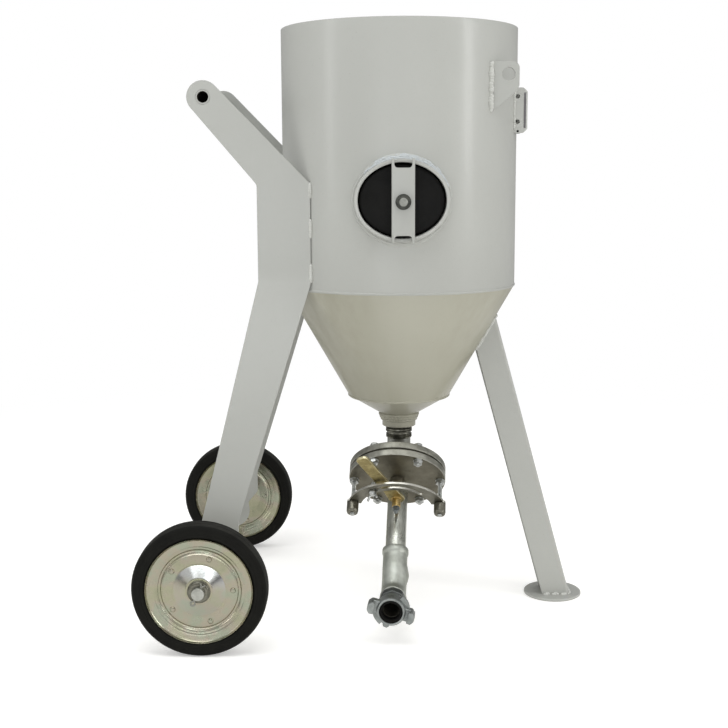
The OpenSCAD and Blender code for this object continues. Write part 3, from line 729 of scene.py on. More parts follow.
def cylinder_point(radius, phi, z):
    return (TX + radius * math.sin(phi), -radius * math.cos(phi), z)


def ripple(phi, z):
    """A rolled shell is never a true cylinder: it stands up to a fraction of a millimetre off."""
    return 0.32 * noise.noise(Vector((math.cos(phi) * 1.7, math.sin(phi) * 1.7, z * 0.0042)))


def oval(a, b, n=144):
    r1 = 0.88 * b
    cx = a - r1
    r2 = (cx * cx + b * b - r1 * r1) / (2 * (b - r1))
    t, k = cx * r2 / (r2 - r1), r2 - b
    out = []
    for i in range(n):
        w = 2 * PI * i / n
        c, s = abs(math.cos(w)), abs(math.sin(w))
        far = math.sqrt(r2 * r2 - (k * c) ** 2) - k * s
        if far * c >= t:
            far = cx * c + math.sqrt(r1 * r1 - (cx * s) ** 2)
        out.append((far * math.cos(w), far * math.sin(w)))
    return out


def shell_geo():
    """The rolled wall in columns and rows, drawn in to the rims of the hatch hole and the socket hole."""
    steps, fine = 144, 720
    low, high, lip = 768, 968, RIM - 1.2
    zs = sorted({*(round(SEAM + (low - SEAM) * i / 7, 3) for i in range(8)),
                 *(low + 12.5 * i for i in range(17)),
                 *(round(high + (lip - high) * i / 19, 3) for i in range(20))})
    holes = [dict(c=0, half=12, lo=low, hi=high, x=HX0 - TX, z=HZ, rim=oval(HA + 7.2, HB + 7.2, fine)),
             dict(c=72, half=4, lo=843, hi=918, x=0.0, z=AIR_Z, rim=flat_circle(0, 0, 21.2, fine))]
    points, faces, wells, starts = [], [], [], []
    for radius in (R, R - WALL):
        base = len(points)
        starts.append(base)

        def at(i, j):
            return base + j * steps + i % steps
        for z in zs:
            for i in range(steps):
                phi = 2 * PI * i / steps
                points.append(cylinder_point(radius + ripple(phi, z), phi, z))
        skip = set()
        for h in holes:
            rows = [j for j, z in enumerate(zs) if h["lo"] - 0.01 <= z <= h["hi"] + 0.01]
            j0, j1 = rows[0], rows[-1]
            i0, i1 = h["c"] - h["half"], h["c"] + h["half"]
            skip |= {(i % steps, j) for i in range(i0, i1) for j in range(j0, j1)}
            edge = [(i, j0) for i in range(i0, i1)] + [(i1, j) for j in range(j0, j1)]
            edge += [(i, j1) for i in range(i1, i0, -1)] + [(i0, j) for j in range(j1, j0, -1)]
            mid = 2 * PI * h["c"] / steps
            rings = [[at(i, j) for i, j in edge]]
            for w in (k / 3 for k in (1, 2, 3)):
                new = []
                for i, j in edge:
                    phi = 2 * PI * i / steps
                    dx, dz = radius * math.sin(phi - mid) - h["x"], zs[j] - h["z"]
                    turn_at = math.atan2(dz, dx) % (2 * PI)
                    hx, hz = h["rim"][int(round(turn_at / (2 * PI) * fine)) % fine]
                    x, z = dx + (hx - dx) * w, dz + (hz - dz) * w
                    q = mid + math.asin((x + h["x"]) / radius)
                    new.append(len(points))
                    points.append(cylinder_point(radius + ripple(q, h["z"] + z), q, h["z"] + z))
                rings.append(new)
            for a, b in zip(rings, rings[1:]):
                faces += ring_faces(a, b)
            wells.append(rings[-1])
        for j in range(len(zs) - 1):
            for i in range(steps):
                if (i, j) not in skip:
                    faces.append((at(i, j), at(i + 1, j), at(i + 1, j + 1), at(i, j + 1)))
    for outer, inner in ((wells[0], wells[2]), (wells[1], wells[3])):
        faces += ring_faces(outer, inner)
    top = steps * (len(zs) - 1)
    rim = [top]
    for dr, dz in ((0.35, 0.85), (1.2, 1.2), (WALL - 1.2, 1.2), (WALL - 0.35, 0.85)):
        rim.append(len(points))
        for i in range(steps):
            points.append(cylinder_point(R - dr, 2 * PI * i / steps, lip + dz))
    rim.append(starts[1] + top)
    for a, b in (*zip(rim, rim[1:]), starts):
        faces += ring_faces(range(a, a + steps), range(b, b + steps))
    return points, faces


def ring_path(radius, z, n=360):
    return [(TX + radius * math.cos(2 * PI * i / n), radius * math.sin(2 * PI * i / n), z) for i in range(n)]


def build_vessel():
    Part().add(shell_geo()).make("shell_skin", "pot", [PAINT], "shell", "paint", even=False)
    slope = (R - LOW_R) / (SEAM - LOW_Z)
    shift = WALL * math.sqrt(1 + slope * slope)
    rows = 14
    outer = [(LOW_R + (R - LOW_R) * k / rows,
              LOW_Z + (SEAM - 0.1 - LOW_Z) * k / rows) for k in range(rows + 1)]
    inner = [(r - shift, z) for r, z in reversed(outer)]
    Part().add(lathe(outer + inner, 144), TANK).make("cone_skin", "pot", [PAINT_CONE_SHADED], "bottom_cone", "paint",
                                                   even=False)
    end = soften([(41, 408), (76, 429), (LOW_R, 447.9), (99.5, 447.9), (36, 414), (36, 398), (38, 398)],
                 [2.5, 0, 0, 0, 0, 0, 0], 4)
    Part().add(lathe(end, 120), TANK).make("end_cone_skin", "pot", [PAINT_CONE_SHADED], "end_cone", "paint")
    socket = soften([(25.1, 379), (34.6, 379), (35.8, 380.2), (35.8, 397), (37.0, 402), (35.8, 412),
                     (25.1, 412)],
                    [0.5, 0.5, 0.5, 2, 2, 0, 0.5], 2)
    Part().add(lathe(socket, 96), TANK).make("outlet_socket_body", "pot", [PAINT_CONE_SHADED], "outlet_socket",
                                             "paint")
    seams = Part()
    seams.add(weld(ring_path(R - 1.7, SEAM + 1.0), 3.3, 1, True, 4.2, 0.10, 1.4), slot=1)
    seams.add(weld(ring_path(LOW_R - 1.2, LOW_Z - 0.4), 3.0, 2, True, 4.2, 0.12, 1.3))
    for radius, z, size in ((39.6, 404.6, 4.2), (38.0, 399.4, 4.0), (36.6, 394.4, 3.2)):
        seams.add(weld(ring_path(radius, z), size, 3, True, 4.2, 0.14, 1.0))
    seams.make_welds("vessel_seams", [PAINT_CONE_SHADED, PAINT])

    head = soften([(50.4, 1091), (232, 1148), (237.8, 1152), (237.8, 1172), (233, 1172), (233, 1155),
                   (230, 1153),
                   (50.4, 1096.5)], [0.5, 4, 3, 1.5, 1.5, 3, 3, 0.5], 3)
    Part().add(lathe(head, 144), TANK).make("fill_head_skin", "pot", [PAINT_INNER_SHADED], "fill_head", "paint")
    inside = Part()
    inside.add(weld(ring_path(236.0, 1173.0), 2.6, 4, True, 4.2, 0.14, 1.5))
    inside.add(weld(ring_path(51.0, 1097.2), 2.4, 5, True, 3.6, 0.14, 1.0))
    inside.make_welds("head_seams", [PAINT_INNER_SHADED])
    seat = soften([(36, 1084), (47, 1084), (47, 1080), (50.2, 1080), (50.2, 1100), (36, 1100)],
                  [0.4, 0, 0.4, 0.6, 1.6, 1.6], 3)
    Part().add(lathe(seat, 96), TANK).make("fill_seat_ring", "pot", [PAINT_INNER_SHADED], "fill_seat", "paint")
    seal = soften([(40.2, 1076.5), (46.8, 1076.5), (46.8, 1083.8), (40.2, 1083.8)], 2.2, 3)
    Part().add(lathe(seal, 96), TANK).make("fill_seal_ring", "pot", [RUBBER], "seat_seal", "rubber")
    plug = soften([(0, 900), (12.9, 900), (12.9, 1000.3), (44, 1000.3), (50, 1006), (50, 1018), (38, 1046),
                   (18, 1060), (0, 1064)], [0, 1, 2, 3, 3, 4, 9, 8, 0], 4, closed=False)
    Part().add(lathe(plug, 96, False), TANK).make("fill_plug_body", "fill_plug", [RUBBER], "popup_plug",
                                                  "rubber")


def build_air_line():
    path = [(0, 0, 1000), (0, 0, 990), (0, 0, 940), (0, 0, 902)]
    bend = 22
    path += [(0, bend * (1 - math.cos(a)), AIR_Z + bend * (1 - math.sin(a)))
             for a in (PI / 2 * k / 8 for k in range(9))]
    path += [(0, y, AIR_Z) for y in (40, 90, 150, 222.6)]
    out = path_rings(path, lambda i: 16.85 if i < 3 else 20.5 if i <= 13 else 16.5, 48)
    inn = path_rings(path, AIR_BORE, 48)
    Part().add(loft(out + inn[::-1], closed=True), TANK).make(
        "guide_pipe_body", "pot", [GALV], "guide_pipe", "zinc", even=False)
    place = TANK @ move(0, R - 20, AIR_Z) @ turn(-90, "X")
    body = soften([(13.6, 0), (20, 0), (21, 1), (21, 54), (20, 55), (17.6, 55), (16.6, 53.5), (16.6, 5),
                   (13.6, 5)],
                  0.4, 2)
    part = Part().add(lathe(body, 72), place)
    for z in range(8, 52, 2):
        part.add(ring(16.9, 15.9, z, z + 1.0, 0.3, 48), place)
    part.add(weld(circle(22.2, 90, 20.4), 2.6, 6, True, 3.2), place, 1)
    part.make("air_socket_body", "pot", [GALV, PAINT], "air_socket", "zinc")


# ------------------------------------------------------------------ hatch

def hatch_ring(da, db, depth, n=144, scale=1.0, wobble=0.0):
    out = []
    for i, (x, z) in enumerate(oval(HA + da, HB + db, n)):
        k = scale * (1 + wobble * noise.noise(Vector((i * 0.42, da, 9))))
        x, z = x * k, z * k
        q = depth(x + HX0 - TX) if callable(depth) else depth
        q += wobble * 60 * noise.noise(Vector((i * 0.37, 2, db)))
        out.append((HX0 + x, -q, HZ + z))
    return out


def round_ring(r, depth, n=144):
    return [(CX + r * math.cos(2 * PI * i / n), -depth, CZ + r * math.sin(2 * PI * i / n)) for i in range(n)]


def on_shell(extra):
    return lambda x: math.sqrt((R + extra) ** 2 - x * x)


def build_hatch():
    n = 240
    rings = [hatch_ring(da, db, depth, n, wobble=wobble) for da, db, depth, wobble in (
        (0, 0, 205, 0), (0, 0, HQ - 1.6, 0), (0.5, 0.5, HQ - 0.4, 0), (1.6, 1.6, HQ, 0), (5.2, 5.2, HQ, 0),
        (6.5, 6.5, HQ - 0.5, 0), (7, 7, HQ - 1.8, 0), (7.1, 7.4, on_shell(9.5), 0.004),
        (7.9, 9.6, on_shell(6.4), 0.006), (9.0, 12.4, on_shell(3.6), 0.007),
        (10.4, 15.6, on_shell(1.6), 0.006), (11.4, 17.8, on_shell(0.1), 0.005),
        (11, 17, on_shell(-2), 0), (7, 7, on_shell(-4.5), 0), (7, 7, 205, 0))]
    Part().add(loft(rings, closed=True)).make("hatch_neck", "pot", [PAINT], "hatch_collar", "paint", sharp=50)
    crown = Part().add(weld(hatch_ring(9.0, 11.6, on_shell(3.0), 420), 3.8, 12, True, 4.6, 0.3, 1.2))
    # The beads over the top arc take the painted highlight paint (slot 1).
    for da, db, up, size, seed, a0, a1 in ((7.2, 8.0, 10.0, 2.4, 13, 26, 140),
                                           (8.0, 10.4, 6.2, 3.2, 14, 16, 146),
                                           (9.2, 13.4, 2.8, 3.2, 15, 34, 128)):
        ring_at = hatch_ring(da, db, on_shell(up), 720)
        crown.add(weld(ring_at[2 * a0:2 * a1], size, seed, False, 5.4, 0.5, 1.0), slot=1)
    crown.make_welds("hatch_weld", [PAINT, PAINT_CROWN_HIGHLIGHT])
    face, back = 247.6, 195.8
    rings = [round_ring(8.05, face + 1.0)]
    rings += [hatch_ring(0, 0, face + d, scale=k) for d, k in ((0.9, 0.3), (0.6, 0.6), (0.15, 0.85))]
    rings += [hatch_ring(d, d, depth) for d, depth in (
        (-6.5, face), (-4.4, face - 0.5), (-3.2, face - 1.7), (-3, face - 3.2), (-3, 204.2), (-1.6, 202.8),
        (5.2, 202.8), (6, 202.0), (6, 196.6), (5.2, back), (-10, back), (-11, 196.8), (-11, 240.8))]
    rings.append(round_ring(8.05, 240.8))
    Part().add(loft(rings, closed=True)).make("hatch_cover_body", "hatch", [COVER], "hatch_cover",
                                              "black_cover")
    rings = [hatch_ring(d, d, depth) for d, depth in (
        (-2.4, 202.3), (-2.4, 204.4), (5.0, 204.7), (5.5, 204.0), (5.5, 202.6), (5.0, 202.1))]
    Part().add(loft(rings, closed=True)).make("hatch_gasket_ring", "hatch", [RUBBER], "hatch_gasket",
                                              "rubber")

    front = move(CX, 0, CZ) @ turn(90, "X")
    stud = Part()
    stud.add(thread(8.0, 2.0, 236, 299.4, 36), front)
    stud.add(hexagon(24, 228, 240.4, 0), front)
    stud.make("hatch_stud_bolt", "hatch", [ZINC_DULL], "hatch_stud", "zinc")
    q0, q1 = HQ + 0.3, HQ + 16
    section = soften([(-22, q0), (-22, q1), (22, q1), (22, q0), (16.5, q0), (16.5, q1 - 6), (-16.5, q1 - 6),
                      (-16.5, q0)], [0.8, 2.6, 2.6, 0.8, 0.8, 1.2, 1.2, 0.8], 4)
    rows = [-79, -78.4, -60, 60, 78.4, 79]
    small = [0.994, 1, 1, 1, 1, 0.994]
    rings = [[(CX + x * k, -(q if k == 1 else q0 + (q - q0) * 0.985), HZ + z) for x, q in section]
             for z, k in zip(rows, small)]
    y0, y1, cuts = 4 - HQ, -HQ - 24, []
    for s in (-1, 1):
        loop = soften([(-16.9, s * 95), (-16.9, s * 63.6), (16.9, s * 63.6), (16.9, s * 95)],
                      [0, 6.5, 6.5, 0], 6)
        cuts.append(prism([(CX + x, CZ + z) for x, z in loop], y0, y1))
    cuts.append(prism(flat_circle(CX, CZ, 8.6, 48), y0, y1))
    yoke = Part().add(loft(rings)).make("hatch_yoke_bar", "pot", [PAINT_FRAME], "hatch_yoke", "paint",
                                        cuts=cuts)
    rounded(yoke, 0.0009)
    Part().add(ring(15, 8.5, HQ + 16.05, HQ + 19.05, 0.5), front).make(
        "hatch_washer_ring", "pot", [NUT_OILED_AND_SHADED], "hatch_washer", "zinc")
    Part().add(hexagon(24, HQ + 19.1, HQ + 32.1, 8.06), front).make(
        "hatch_nut_hex", "hatch_nut", [NUT_OILED_AND_SHADED], "hatch_nut", "zinc")


# ------------------------------------------------------------------ rear frame

def rear_outline():
    kx, drop = TX - 283, FOLD_Z - TAB_Z
    fx, back_slope, front_slope = TX - 176.9, 0.2475, 0.3134
    lx, rx = kx - back_slope * drop, fx - front_slope * drop
    a0 = math.degrees(math.atan2(22.4, 22.8))
    pts = arc(HX, HANDLE_Z, 32, [a0 + 180 * k / 28 for k in range(29)])
    left = soften([pts[-1], (kx, 896), (kx, FOLD_Z), (lx, TAB_Z), (AX - 37, 147), (AX - 39.2, AZ + 8)],
                  [0, 14, 20, 20, 20, 0], 5, closed=False)[1:]
    base = arc(AX, AZ, 40, range(170, 371, 8))
    right = soften([base[-1], (AX + 37, 150), (rx, 178), (rx, TAB_Z), (fx, FOLD_Z),
                    (TX - 172, FOLD_Z + 2),
                    (TX - 172, 893), (TX - 184, 904), pts[0]], [0, 14, 14, 30, 4, 2, 8, 8, 0], 4,
                   closed=False)[1:-1]
    return pts + left + base + right


def side_bend(side):
    def bend(obj):
        bm = bmesh.new()
        bm.from_mesh(obj.data)
        for z in [FOLD_Z + d for d in (-14, -7, 0, 7, 14)] + [TAB_Z + d for d in (-14, -7, 0, 7, 14)]:
            bmesh.ops.bisect_plane(bm, geom=bm.verts[:] + bm.edges[:] + bm.faces[:], plane_co=(0, 0, z * MM),
                                   plane_no=(0, 0, 1), dist=1e-7)

        def ramp(t, soft=14.0):
            return 0 if t < -soft else t if t > soft else (t + soft) ** 2 / (4 * soft)
        for v in bm.verts:
            z = v.co.z / MM
            v.co.y += side * MM * SPLAY * (ramp(FOLD_Z - z) - ramp(TAB_Z - z))
        bm.to_mesh(obj.data)
        bm.free()
    return bend


def standing(side, offset):
    """Outline coordinates (x, z) to a plate that stands upright, its outer face at the given distance."""
    return Matrix(((1, 0, 0, 0), (0, 0, side, side * offset), (0, 1, 0, 0), (0, 0, 0, 1)))


def build_rear():
    hole_top = flat_circle(HX, HANDLE_Z, 14.1, 48)
    hole_low = flat_circle(AX, AZ, 12.7, 48)
    gap = 2.6
    cutter = turned([(0, 430), (LOW_R + gap, LOW_Z), (R + gap, SEAM), (R + gap, 1150), (0, 1150)])
    for side, name in ((-1, "right"), (1, "left")):
        # The far plate gets the darker paint as painted shade.
        body = Part().add(plate(rear_outline(), -6, 0, 1.0, (hole_top, hole_low)), standing(side, PLATE_Y))
        body.make("rear_plate_" + name, "pot", [PAINT_FRAME if side < 0 else PAINT_FAR_SHADED],
                  "side_plate_" + name, "paint",
                  cuts=[cutter], bend=side_bend(side))
        stitches = Part()
        for k, (z0, z1) in enumerate(((868, 900), (791, 828), (703, 740))):
            for reach, dx, y, size, seed, pitch, rough in (
                    (1.5, 0.4, 1.6, 4.3, 20, 4.4, 0.3), (6.5, 1.2, 7.4, 3.4, 30, 4.0, 0.16)):
                x = TX - chord(R + 1.2, PLATE_Y - reach) - dx
                path = [(x, side * (PLATE_Y - y), z) for z in (z0, (z0 + z1) / 2, z1)]
                stitches.add(weld(path, size, seed + k + side, pitch=pitch, rough=rough))
        ridge = [(HX + 15.0 * math.cos(a), side * (PLATE_Y - 6.6), HANDLE_Z + 15.0 * math.sin(a))
                 for a in (2 * PI * k / 60 for k in range(60))]
        stitches.add(weld(ridge, 2.6, 40 + side, True, 3.4))
        stitches.make_welds("plate_welds_" + name, [PAINT_WELD_HIGHLIT])
    length = PLATE_Y + 0.4
    tube = Part()
    shape = soften([(11, -length), (14, -length), (14, length), (11, length)], 0.7, 2)
    tube.add(lathe(shape, 64), move(HX, 0, HANDLE_Z) @ turn(90, "X"))
    handle = tube.make("handle_bar", "pot", [PAINT_FRAME, BORE_SCALE_AND_SHADE], "handle_tube", "paint")
    # Inside of the tube: near-black bore material, partly painted shade.
    recolour(handle, move(HX, 0, HANDLE_Z), 1, lambda c: math.hypot(c.x, c.z) < 11.3)


def build_axle():
    half = span("axle")[1].y
    part = Part()
    shape = soften([(0, -half), (12.5, -half), (12.5, half), (0, half)], [0, 1.4, 1.4, 0], 3, closed=False)
    part.add(lathe(shape, 64, False), move(AX, 0, AZ) @ turn(90, "X"))
    part.make("axle_bar", "pot", [AXLE_STEEL], "axle", "zinc")
    collars, washers, pins = Part(), Part(), Part()
    for side in (-1, 1):
        place = wheel_frame(side)
        collars.add(ring(19, 12.55, -HALF_W - 22, -HALF_W - 13, 1.0), place)
        collars.add(lathe(soften([(0, 17.2), (2.6, 17.2), (3.2, 18), (3.2, 20.8), (0, 20.8)], 0.2, 1, False),
                          24, False), place @ move(0, 0, -HALF_W - 17.5) @ turn(90, "Y"))
        washers.add(ring(18, 12.6, HALF_W + 4.2, HALF_W + 6.6, 0.5), place)
        washers.add(ring(18, 12.6, -HALF_W - 12.7, -HALF_W - 10.3, 0.5), place)
        eye = place @ turn(-28, "Z") @ move(0, 0, HALF_W + 9)
        loop = [(4.2 * math.sin(a), -22.4 + 4.2 * math.cos(a), 0)
                for a in [math.radians(25 + 310 * k / 24) for k in range(25)]]
        path = [(4.6, 20.6, 0), (1.6, 17, 0), (1.0, 13, 0), (1.0, 0, 0), (1.0, -16.5, 0)] + loop
        path += [(-1.0, -16.5, 0), (-1.0, 0, 0), (-1.0, 13, 0), (-1.6, 17, 0), (-4.6, 20.6, 0)]
        pins.add(sweep(resample(path, 0.8), 1.5, 10), eye)
    collars.make("axle_stop_collars", "pot", [ZINC_DULL], "axle_collars", "zinc")
    washers.make("axle_thrust_washers", "pot", [HUB], "axle_washers", "zinc")
    pins.make("axle_split_pins", "pot", [ZINC_DULL], "split_pins", "zinc", sharp=60)


# ------------------------------------------------------------------ wheels

RIVETS, RIVET_R = 5, 64.5


def disc_profile():
    """Outer skin of the pressed wheel disc, from the hub to the rolled lip, and back along its inner face."""
    face = [(20.6, 20.2), (25.6, 20.2), (27.2, 19.2), (50.6, 12.9), (53.0, 12.6), (56, 12.6),
            (70.5, 12.6), (73.4, 12.0), (75.4, 10.2), (77.2, 9.6), (79.2, 10.2), (81.2, 12.2), (83.2, 13.4),
            (84.6, 13.5), (86.0, 13.8), (88.5, 15.4), (95.0, 16.6), (99.6, 17.2), (101.4, 19.4),
            (102.6, 21.6),
            (103.3, 22.6)]
    outer = soften(face, [0] + [2.2] * (len(face) - 2) + [0], 3, closed=False)
    inner = [(r, z - 1.8) for r, z in reversed(outer[:-6])]
    return outer + [(103.4, 22.4), (103.4, 18.0)] + inner


def build_wheel(side, name):
    place, body = wheel_frame(side), "wheel_" + name
    metal = WHEEL_ZINC[side]
    w = HALF_W
    half = soften([(100.2, 0), (100.2, w - 9), (103.8, w - 5.5), (105.2, w - 1.6), (107.0, w - 0.2),
                   (110.0, w),
                   (112.0, w - 0.7), (113.2, w - 0.1), (120, w - 0.2), (121.2, w - 0.8), (122.4, w - 0.3),
                   (126.2, w - 0.9), (WHEEL_R - 1.6, w - 5.0), (WHEEL_R - 0.1, w - 9.5), (WHEEL_R, 9.4),
                   (WHEEL_R - 1.1, 8.6), (WHEEL_R - 1.1, 7.4), (WHEEL_R, 6.6), (WHEEL_R, 0.5)],
                  [0, 0, 2, 1.5, 1.5, 1, 0.6, 0.6, 1, 0.5, 0.6, 3, 5, 4, 0.5, 0.4, 0.4, 0.5, 0], 3,
                  closed=False)
    shape = half + [(r, -z) for r, z in reversed(half[1:])]
    tyre = Part().add(lathe(shape, 144), place).make(
        "tyre_ring_" + name, body, [TYRE, TREAD_DUST_AND_SHEEN], "tyre_" + name, "tyre", sharp=60, even=False)
    # The tread faces take the lighter rubber: partly dust, partly painted sheen.
    recolour(tyre, place, 1, lambda c: math.hypot(c.x, c.y) > WHEEL_R - 2.2)
    flip = Matrix.Scale(-1, 4, (0, 0, 1))
    for piece, replaced, spot in (("wheel_face_", "wheel_disc_", place),
                                  ("wheel_inner_face_", "wheel_back_", place @ flip)):
        Part().add(lathe(disc_profile(), 144), spot).make(
            piece + name, body, [metal], replaced + name, "wheel_zinc", sharp=60, even=False)
    hub = soften([(12.6, -w - 10), (19.4, -w - 10), (20.5, -w - 8.8), (20.5, w + 2.8), (19.4, w + 4),
                  (12.6, w + 4)],
                 0.6, 2)
    part = Part().add(lathe(hub, 96), place)
    part.add(weld(circle(21.2, 80, w - 0.8), 1.5, 50 + side, True, 2.6), place)
    part.make("wheel_hub_tube_" + name, body, [HUB], "wheel_hub_" + name, "wheel_zinc")
    rivets = Part()
    dome = soften([(0, -2.2), (5.4, -2.2), (5.5, 0.2), (4.6, 2.1), (2.6, 3.3), (0, 3.6)],
                  [0, 0.2, 0.8, 1.5, 2, 0], 3,
                  closed=False)
    for k in range(RIVETS):
        spot = place @ turn(360 / RIVETS * k, "Z") @ move(RIVET_R, 0, 0)
        rivets.add(lathe(dome, 28, False), spot @ move(0, 0, 13.0))
        rivets.add(lathe(dome, 28, False), spot @ flip @ move(0, 0, 13.0))
        rivets.add(ring(3.4, 1.0, -11, 11, 0.3, 24), spot)
    rivets.make("wheel_rivet_heads_" + name, body, [metal], "wheel_rivets_" + name, "wheel_zinc", sharp=60)


# ------------------------------------------------------------------ front leg, lugs, bracket

def build_front():
    place = move(TX + 370.1, 0, 13.6) @ turn(-15.4, "Y")
    outline = [(-57.5, -30), (0, -30), (0, 30), (-57.5, 30), (-57.5, 25), (-5, 25), (-5, -25), (-57.5, -25)]
    outline = soften(outline, [0.9, 6.5, 6.5, 0.9, 0.9, 2.2, 2.2, 0.9], 5)
    bars = Part().add(loft([[(x, y, z) for x, y in outline] for z in (-40, 680)]), place)
    under = block(-100, 900, -200, 200, -100, 6.1)
    cone = turned([(0, 440), (LOW_R + 0.5, LOW_Z), (R + 0.5, SEAM), (R + 0.5, 900), (0, 900)])
    bars.make("front_leg_channel", "pot", [PAINT_FRAME], "front_leg", "paint", cuts=[under, cone])
    foot = soften([(0, 0.2), (60.8, 0.2), (61.95, 1.2), (61.95, 4.6), (60.6, 6), (0, 6)],
                  [0, 0.5, 0.5, 0.8, 0.8, 0], 2,
                  closed=False)
    Part().add(lathe(foot, 120, False), move(FOOT_X, 0, 0)).make(
        "foot_disc", "pot", [PAINT_FRAME], "foot_plate", "paint")

    def on_leg(x, y, z):
        """A point of the channel outline where it stands on height z."""
        ray0, ray1 = place @ Vector((x, y, 0)), place @ Vector((x, y, 1))
        t = (z - ray0.z) / (ray1.z - ray0.z)
        return ray0 + (ray1 - ray0) * t

    welds = Part()
    base = [on_leg(x, y, 7.0) for x, y in ((-56, -31), (-4, -31), (0.8, -27), (0.8, 27), (-4, 31), (-56, 31))]
    stitched, whole = ((0.02, 0.30), (0.34, 0.66), (0.70, 0.98)), ((0.0, 1.0),)
    for k, (a, b) in enumerate(zip(base, base[1:])):
        for c0, c1 in stitched if k in (0, 4) else whole:
            path = [a.lerp(b, c) for c in (c0, (c0 + c1) / 2, c1)]
            welds.add(weld(path, 4.2, 60 + k, pitch=5.0, rough=0.35))

    def on_cone(x, y):
        """Where the channel's straight line at local (x, y) meets the cone."""
        lo, hi = 100.0, 680.0
        for _ in range(40):
            mid = (lo + hi) / 2
            p = place @ Vector((x, y, mid))
            limit = LOW_R + (p.z - LOW_Z) * (R - LOW_R) / (SEAM - LOW_Z)
            if math.hypot(p.x - TX, p.y) > limit + 1.0:
                lo = mid
            else:
                hi = mid
        return place @ Vector((x, y, (lo + hi) / 2))
    for k, s in enumerate((-1, 1)):
        path = [on_cone(x, s * 31.0) for x in (-59, -50, -40, -30, -20, -10, -3)]
        welds.add(weld(path, 4.4, 70 + k, pitch=5.0, rough=0.34))
    welds.add(weld([on_cone(1.0, y) for y in (-27, -18, -9, 0, 9, 18, 27)], 4.2, 74, pitch=5.0, rough=0.3))
    welds.make_welds("leg_welds", [PAINT_WELD_HIGHLIT])


def build_lugs():
    cut = turned([(0, 900), (R + 0.15, 900), (R + 0.15, 1200), (0, 1200)])
    outline = soften([(150, 1034), (178, 1034), (226, 1074), (230, 1084), (230, 1130), (150, 1130)],
                     [0, 2, 6, 4, 13, 0], 6)
    lugs = Part()
    for side in (-1, 1):
        lugs.add(plate(outline, -8, 0, 1.0, (flat_circle(209, 1106, 12.4, 48),)), TANK @ standing(side, 167))
    lugs.make("lifting_lug_plates", "pot", [PAINT_FRAME], "lifting_lugs", "paint", cuts=[cut])
    beads = Part()
    for side in (-1, 1):
        for y, dx, foot, size, seed in ((169.4, -0.8, 1034, 6.3, 80), (156.8, 1.5, 1045, 3.4, 84)):
            path = [(TX + chord(R + 1.0, y) + dx, side * y, z) for z in (foot, 1060, 1085, 1110, 1130)]
            beads.add(weld(path, size, seed + side, pitch=5.6, rough=0.36))
    beads.make_welds("lug_welds", [PAINT_WELD_HIGHLIT])

    section = soften([(200, -78), (258, -78), (258, -18), (200, -18), (200, -22), (254, -22), (254, -74),
                      (200, -74)],
                     [0, 7, 7, 0, 0, 3, 3, 0], 5)
    channel = Part().add(loft([[(x, y, z) for x, y in section] for z in (990, 1092)]), TANK)
    profile = soften([(195, 1003), (236, 996), (249, 996), (258.5, 1005), (258.5, 1077), (249, 1086),
                      (232, 1086),
                      (195, 1079)], [0, 5, 6, 8, 8, 6, 5, 0], 4)
    limit = prism([(TX + x, z) for x, z in profile], -90, -5)
    holes = [prism(flat_circle(TX + 237.5, z, 4.5, 32), -120, 20) for z in (1018.5, 1068.5)]
    bracket = channel.make("control_bracket_channel", "pot", [PAINT], "control_bracket", "paint",
                           cuts=[cut] + holes, keep=[limit])
    rounded(bracket, 0.0006)
    # Painted shade: a thin grey strip along the bracket's right edge stands in for the shaded inside of its
    # bend; a small black disc below it marks a dark spot.
    strip = plate([(249.8, 1006), (254.2, 1006), (254.2, 1076), (249.8, 1076)], -0.7, 0.5, 0.3)
    spot = plate(flat_circle(238.0, 999.6, 2.4, 20), -0.7, 0.6, 0.3)
    Part().add(strip, TANK @ standing(-1, 78)).add(spot, TANK @ standing(-1, 78), 1).make(
        "bracket_shade_strip", "pot", [SHADE_STRIP, RUBBER], (), "rubber")
    bead = Part()
    for y, reach, seed in ((-79.4, 79, 90), (-16.6, 17, 91)):
        x0 = TX + chord(R + 0.8, reach)
        bead.add(weld([(x0, y, z) for z in (1004, 1040, 1078)], 2.8, seed, pitch=4.2))
    bead.make_welds("bracket_welds", [PAINT_WELD_HIGHLIT])


# ------------------------------------------------------------------ metering valve, fixed parts

BOLTS = (60, 120, 240, 300)                     # degrees round the flange


def disc_geo(z0, z1, edge=1.3, rings=6):
    """A closed flange disc: the bores of the real one are left out."""
    low = [(FLANGE_R * k / rings, z0) for k in range(rings)]
    high = [(FLANGE_R * k / rings, z1) for k in reversed(range(rings))]
    rim = soften([low[-1], (FLANGE_R, z0), (FLANGE_R, z1), high[0]], [0, edge, edge, 0], 3,
                 closed=False)[1:-1]
    return lathe(low + rim + high, 144, False)


def edge_faces(obj, place):
    """Second material on every face that doesn't look along the axis of the place."""
    # The edge material is lighter: partly cut edges, partly painted highlight.
    axis = place.col[2].xyz.normalized()
    for p in obj.data.polygons:
        if abs(p.normal.dot(axis)) < 0.8 and p.material_index == 0:
            p.material_index = len(obj.data.materials) - 1


